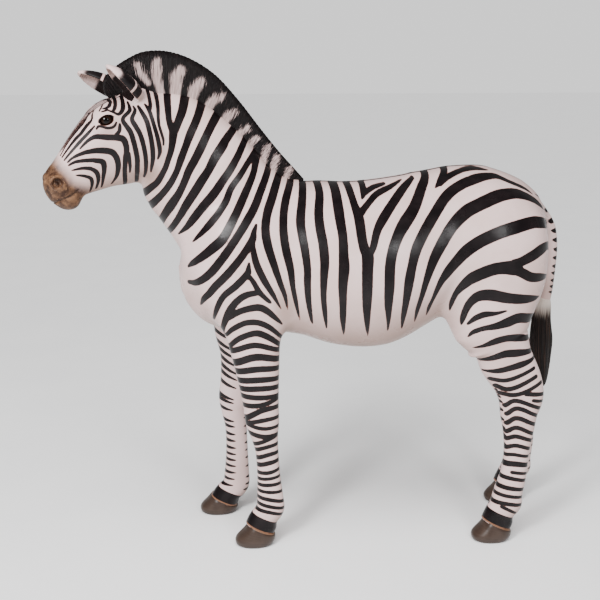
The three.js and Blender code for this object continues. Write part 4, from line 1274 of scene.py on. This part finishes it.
def make_tuft():
    rows = spline(TUFT, 16)
    girth = TUFT_SIDES * TUFT_STEP
    locks = strands(girth, 21, ((34, 1.0), (11, 0.5)))
    angle = turns(TUFT_SIDES)
    top, foot = rows[0, 1], rows[-1, 1]
    rings = []
    for x, z, rear, front, half in rows:
        down = (top - z) / (top - foot)
        turned = np.arange(TUFT_SIDES) * TUFT_STEP + 40 * down * np.sin(3 * angle)
        depth = min(1, down / 0.1) * 0.085 * sample(locks, turned % (girth - 1))
        c, s = np.cos(angle), np.sin(angle)
        reach = np.where(c > 0, rear, front) * (1 + depth)
        rings.append(np.stack([x + c * reach, s * half * (1 + depth), np.full(TUFT_SIDES, z)], -1))
    vertices, faces = grid_faces(np.stack(rings)[:, ::-1], closed=True)
    piece = make_mesh("tail_hair", vertices, faces)
    write(piece, "down", (top - vertices[:, 2]) / (top - foot))
    write(piece, "turn", np.tile(np.arange(TUFT_SIDES)[::-1] / TUFT_SIDES, len(rows)))
    return piece


def make_hoof(name):
    x, y, crown = FEET[name]
    rows = spline(HOOF, 12)
    angle = turns(HOOF_SIDES)
    c, s = np.cos(angle), np.sin(angle)
    squared_c, squared_s = (np.sign(a) * np.abs(a) ** HOOF_SQUARENESS for a in (c, s))

    def ring(z, lip=1.0):
        back, rear, front, half = (read_at(rows, z, k) for k in range(1, 5))
        reach = np.where(c > 0, rear, front) * HOOF_LENGTH / 2 * lip
        return np.stack([x + back + squared_c * reach,
                         y + squared_s * half * HOOF_WIDTH / 2 * lip, z], -1)

    levels = np.concatenate([[0, 0.004, 0.02, 0.05], np.linspace(0.09, 1, 26)])
    top = np.full(HOOF_SIDES, float(crown))
    for _ in range(6):
        top = crown - math.tan(CORONET_SLOPE) * (ring(top)[:, 0] - x - CORONET_BACK)
    rings = [ring(top * level, 1 - 0.05 * max(level - 0.86, 0) / 0.14) for level in levels]
    middle = rings[-1].mean(0)
    rings.append(middle + (rings[-1] - middle) * 0.75 - (0, 0, 1.0))
    vertices, faces = grid_faces(np.stack(rings)[:, ::-1], closed=True)
    piece = make_mesh(name.replace("hoof", "painted_hoof"), vertices, faces)
    write(piece, "level", np.repeat(np.append(levels, 1.0), HOOF_SIDES))
    return piece


def make_eye(name, side):
    ball, gap = eye_points(side)
    out = unit(gap - ball)
    polar = np.linspace(0.02, math.pi - 0.02, EYE_RINGS)
    angle = turns(EYE_SIDES)
    first = unit(np.cross(out, WORLD[2]))
    second = np.cross(out, first)
    rings = []
    for a in polar:
        bulge = 1 + 0.02 * math.exp(-(a / 0.42) ** 2)
        ring = (np.cos(angle)[:, None] * first + np.sin(angle)[:, None] * second) * math.sin(a)
        rings.append(ball + EYE_RADIUS * bulge * (ring + math.cos(a) * out))
    vertices, faces = grid_faces(np.stack(rings), closed=True)
    piece = make_mesh(name, vertices, faces)
    write(piece, "polar", np.repeat(polar, EYE_SIDES))
    return piece


# ------------------------------------------------------------------ paint
class Nodes:
    """A short way to write shader nodes."""

    def __init__(self, name):
        self.material = bpy.data.materials.new(name)
        self.material.use_nodes = True
        self.tree = self.material.node_tree
        self.shader = self.tree.nodes["Principled BSDF"]

    def add(self, kind, inputs=None, out=0, **settings):
        """A node with its inputs and settings; returns one of its outputs."""
        node = self.tree.nodes.new("ShaderNode" + kind)
        for key, value in settings.items():
            setattr(node, key, value)
        for key, value in (inputs or {}).items():
            self.link(value, node.inputs[key])
        return node.outputs[out]

    def place(self):
        """The point's coordinates on its object."""
        return self.add("TexCoord", out=3)

    def link(self, value, socket):
        if isinstance(value, bpy.types.NodeSocket):
            self.tree.links.new(value, socket)
        else:
            socket.default_value = value

    def attribute(self, name):
        return self.add("Attribute", attribute_name=name, out=2)

    def math(self, operation, *values):
        return self.add("Math", dict(enumerate(values)), operation=operation)

    def times(self, first, second):
        return self.math("MULTIPLY", first, second)

    def plus(self, first, second):
        return self.math("ADD", first, second)

    def sway(self, noise, size):
        """A noise turned into a shift to both sides."""
        return self.times(self.math("SUBTRACT", noise, 0.5), size)

    def ramp(self, value, low, high, to_low=0.0, to_high=1.0):
        return self.add("MapRange", {0: value, 1: low, 2: high, 3: to_low, 4: to_high},
                        interpolation_type="SMOOTHSTEP")

    def mix(self, share, first, second):
        return self.add("Mix", {0: share, 6: first, 7: second}, out=2, data_type="RGBA")

    def blend(self, value, low, high, first, second):
        """From the first colour at `low` to the second at `high`."""
        return self.mix(self.ramp(value, low, high), first, second)

    def noise(self, scale, detail=3.0, vector=None, roughness=0.5):
        vector = self.place() if vector is None else vector
        return self.add("TexNoise", {"Vector": vector, "Scale": scale, "Detail": detail,
                                     "Roughness": roughness})

    def bump(self, height, distance):
        return self.add("Bump", {"Height": height, "Distance": distance, "Strength": 1.0})

    def finish(self, **inputs):
        for key, value in inputs.items():
            self.link(value, self.shader.inputs[key.replace("_", " ")])
        return self.material


# the second white is a darker, shaded copy of the white: painted shade laid on in soft patches
WHITE, WHITE_PAINTED_SHADE = (0.66, 0.495, 0.48, 1), (0.59, 0.43, 0.405, 1)
# the colour of the painted shade and of the warmer sprayed tone
CREAM = (0.27, 0.18, 0.145, 1)
# the second black is a lighter copy of the black: a painted sheen laid on in patches
BLACK, BLACK_PAINTED_SHEEN = (0.0035, 0.0022, 0.0026, 1), (0.009, 0.006, 0.0065, 1)
SEPIA = (0.10, 0.035, 0.024, 1)         # edges of the stripes
TAN, UMBER, SPECK = (0.19, 0.097, 0.050, 1), (0.033, 0.0142, 0.008, 1), (0.27, 0.15, 0.08, 1)
# the painted shade of the ear hollows, and the dark of lips and nostrils
HOLLOW = (0.010, 0.006, 0.006, 1)
RUST = (0.19, 0.09, 0.05, 1)            # the line over a hoof
MANE_WHITES = (0.30, 0.215, 0.20, 1), (0.52, 0.39, 0.375, 1)
MANE_BLACKS = (0.0035, 0.0024, 0.0026, 1), (0.03, 0.019, 0.018, 1)
TUFT_PALES = (0.45, 0.37, 0.31, 1), (0.60, 0.53, 0.48, 1)
TUFT_DARKS = (0.0035, 0.0024, 0.0024, 1), (0.04, 0.022, 0.015, 1)
HORN = (0.030, 0.018, 0.013, 1), (0.044, 0.028, 0.021, 1)
HORN_RING, HORN_TOP = (0.060, 0.040, 0.030, 1), (0.03, 0.019, 0.014, 1)
CROWN = (0.19, 0.10, 0.06, 1)           # the line at the top of a hoof
IRIS = (0.006, 0.0025, 0.0018, 1), (0.014, 0.006, 0.0035, 1)
PUPIL, EYE_EDGE = (0.0015, 0.001, 0.001, 1), (0.004, 0.002, 0.002, 1)
PAPER = (0.92, 0.92, 0.925, 1), (0.94, 0.94, 0.94, 1)


def coat_paint():
    n = Nodes("coat_paint")
    stripe = n.plus(n.attribute("stripe"), n.sway(n.noise(60.0, 3.0), 1.8))
    # painted shade in soft patches, from the darker copy of the white
    white = n.blend(n.noise(7.0, 4.0), 0.35, 0.7, WHITE, WHITE_PAINTED_SHADE)
    # painted shade and the warmer sprayed tone, mixed in towards cream
    white = n.mix(n.attribute("painted_shade_and_tone"), white, CREAM)
    snout = n.blend(n.noise(38.0, 5.0, roughness=0.65), 0.36, 0.70, UMBER, TAN)
    snout = n.blend(n.noise(130.0, 3.0), 0.62, 0.75, snout, SPECK)
    white = n.mix(n.attribute("brown"), white, snout)
    edge = n.blend(stripe, -1.7, -0.3, white, SEPIA)
    # painted sheen in patches, from the lighter copy of the black
    black = n.blend(n.noise(22.0, 4.0), 0.3, 0.8, BLACK, BLACK_PAINTED_SHEEN)
    colour = n.blend(stripe, -0.7, 0.6, edge, black)
    # painted shade in the ear hollows, and the darkened lips, nostrils and mouth corners
    dark = n.plus(n.attribute("dark"), n.sway(n.noise(150.0, 2.0), 0.22))
    colour = n.blend(dark, 0.12, 0.85, colour, HOLLOW)
    rim = n.attribute("rim")
    rust = n.times(n.ramp(rim, 3.2, 2.0), n.ramp(rim, -4.0, -2.0))
    colour = n.mix(rust, colour, RUST)
    along_x = n.add("SeparateXYZ", {0: n.place()})
    rough = n.plus(n.ramp(n.noise(14.0, 3.0), 0.2, 0.8, 0.24, 0.34),
                   n.ramp(along_x, -0.56, -0.68, 0.0, 0.2))     # the face shines less
    height = n.plus(n.times(n.noise(420.0, 2.0), 0.2), n.noise(30.0, 2.0))
    return n.finish(Base_Color=colour, Roughness=rough, Normal=n.bump(height, 0.0006),
                    Specular_IOR_Level=0.18)


def mane_paint():
    """White patches on black, both drawn out by the same streaks."""
    n = Nodes("mane_paint")
    up = n.attribute("up")
    lock = n.add("CombineXYZ", {0: n.times(n.attribute("along"), 0.55), 1: n.times(up, 2.6)})
    streak = n.noise(1.0, 4.0, lock, 0.65)
    brush = n.sway(streak, n.ramp(up, 0.1, 0.5, 3.0, 76.0))
    patch = n.plus(n.attribute("patch"), brush)
    white = n.blend(streak, 0.35, 0.7, *MANE_WHITES)
    black = n.blend(streak, 0.5, 0.8, *MANE_BLACKS)
    colour = n.blend(patch, -5.0, 5.0, black, white)
    return n.finish(Base_Color=colour, Roughness=n.ramp(streak, 0.3, 0.7, 0.36, 0.5),
                    Normal=n.bump(streak, 0.0035), Specular_IOR_Level=0.12)


def tuft_paint():
    """Pale at the top, dark below, with streaks down the tuft."""
    n = Nodes("tuft_paint")
    down, turn = n.attribute("down"), n.attribute("turn")
    strand = n.add("CombineXYZ", {0: n.times(turn, 70.0), 1: n.times(down, 2.0)})
    streak = n.noise(1.0, 3.0, strand, 0.6)
    shade = n.plus(down, n.sway(streak, 0.22))
    pale = n.blend(streak, 0.3, 0.7, *TUFT_PALES)
    dark = n.blend(streak, 0.45, 0.75, *TUFT_DARKS)
    colour = n.blend(shade, 0.06, 0.24, pale, dark)
    return n.finish(Base_Color=colour, Roughness=n.ramp(streak, 0.3, 0.7, 0.34, 0.46),
                    Normal=n.bump(streak, 0.003), Specular_IOR_Level=0.14)


def hoof_paint():
    """Dark horn with growth rings and, at the crown, an orange-brown line."""
    n = Nodes("hoof_paint")
    level = n.attribute("level")
    rings = n.noise(1.0, 2.0, n.add("CombineXYZ", {2: n.times(level, 9.0)}))
    streak = n.noise(26.0, 4.0)
    horn = n.blend(streak, 0.3, 0.7, *HORN)
    horn = n.mix(n.ramp(rings, 0.4, 0.65, 0.0, 0.35), horn, HORN_RING)
    horn = n.blend(level, 0.86, 0.93, horn, HORN_TOP)
    colour = n.blend(level, 0.965, 0.985, horn, CROWN)
    height = n.plus(n.times(rings, 0.7), n.times(streak, 0.4))
    return n.finish(Base_Color=colour, Roughness=n.ramp(streak, 0.2, 0.8, 0.34, 0.42),
                    Normal=n.bump(height, 0.0008), Specular_IOR_Level=0.3)


def eye_paint():
    """Pupil, iris and dark edge, by the angle from the middle of the eye."""
    n = Nodes("eye_paint")
    polar = n.attribute("polar")
    iris = n.blend(n.noise(180.0, 3.0), 0.35, 0.65, *IRIS)
    colour = n.blend(polar, 0.30, 0.36, PUPIL, iris)
    colour = n.blend(polar, 0.66, 0.78, colour, EYE_EDGE)
    return n.finish(Base_Color=colour, Roughness=0.06, Specular_IOR_Level=0.16)


# ------------------------------------------------------------------ the scene
SKY_LIGHT, SKY_SEEN = 0.25, 1.155      # the room as the statue and as the camera sees it
SUN_POWER, SUN_SPREAD, SUN_TURN = 3.7, 50, (28, -6, 0)
AREA_LIGHTS = (     # name, place, aim, size, power
    ("key", (-2.2, -3.3, 3.0), (-0.2, 0, 1.0), 1.1, 220),
    ("fill", (1.6, -4.0, 2.6), (0.3, 0, 0.9), 0.9, 60),
)
CAMERA_AZIMUTH, CAMERA_PITCH = math.radians(-4.5), math.radians(13.9)
CAMERA_TARGET, CAMERA_DISTANCE = (-CENTRE_X * MM, -0.055, 0.889), 3.82
SENSOR = 36
LENS = 1.795 * SENSOR


def facing(way):
    """The turn of a light or camera that looks along a direction."""
    return way.to_track_quat("-Z", "Y").to_euler()


def make_floor():
    bpy.ops.mesh.primitive_plane_add(size=60)
    floor = bpy.context.object
    floor.name = "floor"
    n = Nodes("floor_paper")
    paper = n.blend(n.noise(3.0), 0.3, 0.7, *PAPER)
    floor.data.materials.append(n.finish(Base_Color=paper, Roughness=0.6))


def make_world():
    world = bpy.data.worlds.new("studio")
    world.use_nodes = True
    tree = world.node_tree
    light, seen = tree.nodes["Background"], tree.nodes.new("ShaderNodeBackground")
    for sky, strength in ((light, SKY_LIGHT), (seen, SKY_SEEN)):
        sky.inputs[0].default_value, sky.inputs[1].default_value = (1, 1, 1, 1), strength
    rays = tree.nodes.new("ShaderNodeLightPath")
    mixed = tree.nodes.new("ShaderNodeMixShader")
    tree.links.new(rays.outputs["Is Camera Ray"], mixed.inputs[0])
    tree.links.new(light.outputs[0], mixed.inputs[1])
    tree.links.new(seen.outputs[0], mixed.inputs[2])
    tree.links.new(mixed.outputs[0], tree.nodes["World Output"].inputs[0])
    bpy.context.scene.world = world


def make_lights():
    data = bpy.data.lights.new("overhead", "SUN")
    data.energy, data.angle = SUN_POWER, math.radians(SUN_SPREAD)
    sun = put("overhead", data)
    sun.rotation_euler = [math.radians(turn) for turn in SUN_TURN]
    sun.visible_glossy = False
    for name, place, aim, size, power in AREA_LIGHTS:
        data = bpy.data.lights.new(name, "AREA")
        data.shape, data.size, data.energy = "DISK", size, power
        light = put(name, data)
        light.location = place
        light.rotation_euler = facing(Vector(aim) - Vector(place))


def make_camera():
    back = Vector((math.sin(CAMERA_AZIMUTH) * math.cos(CAMERA_PITCH),
                   -math.cos(CAMERA_AZIMUTH) * math.cos(CAMERA_PITCH), math.sin(CAMERA_PITCH)))
    data = bpy.data.cameras.new("camera")
    data.sensor_width, data.lens = SENSOR, LENS
    camera = put("camera", data)
    camera.location = Vector(CAMERA_TARGET) + back * CAMERA_DISTANCE
    camera.rotation_euler = facing(-back)
    bpy.context.scene.camera = camera


def wear(piece, material, slot, *nodes):
    """Give a piece its material and tell the frame its body and the nodes it replaces; slot is not
    used.
    """
    piece.data.materials.clear()
    piece.data.materials.append(material)
    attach(piece, "root")
    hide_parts(*nodes)


FLESH = ["head", "neck", "trunk", "ear_left", "ear_right", "tail_dock"]
FLESH += [f"leg_{name[5:]}_{part}" for name in FEET for part in ("upper", "lower")]

make_camera()
make_floor()
make_world()
make_lights()
skin, skin_points = make_skin()
coat_layers(skin, skin_points)
wear(skin, coat_paint(), "coat", *FLESH)
wear(make_mane(), mane_paint(), "mane", "mane")
wear(make_tuft(), tuft_paint(), "mane", "tail_tuft")
hooves = hoof_paint()
for hoof in FEET:
    wear(make_hoof(hoof), hooves, "hoof", hoof)
eyes = eye_paint()
wear(make_eye("glossy_eye_left", 1), eyes, "eye", "eye_left")
wear(make_eye("glossy_eye_right", -1), eyes, "eye", "eye_right")
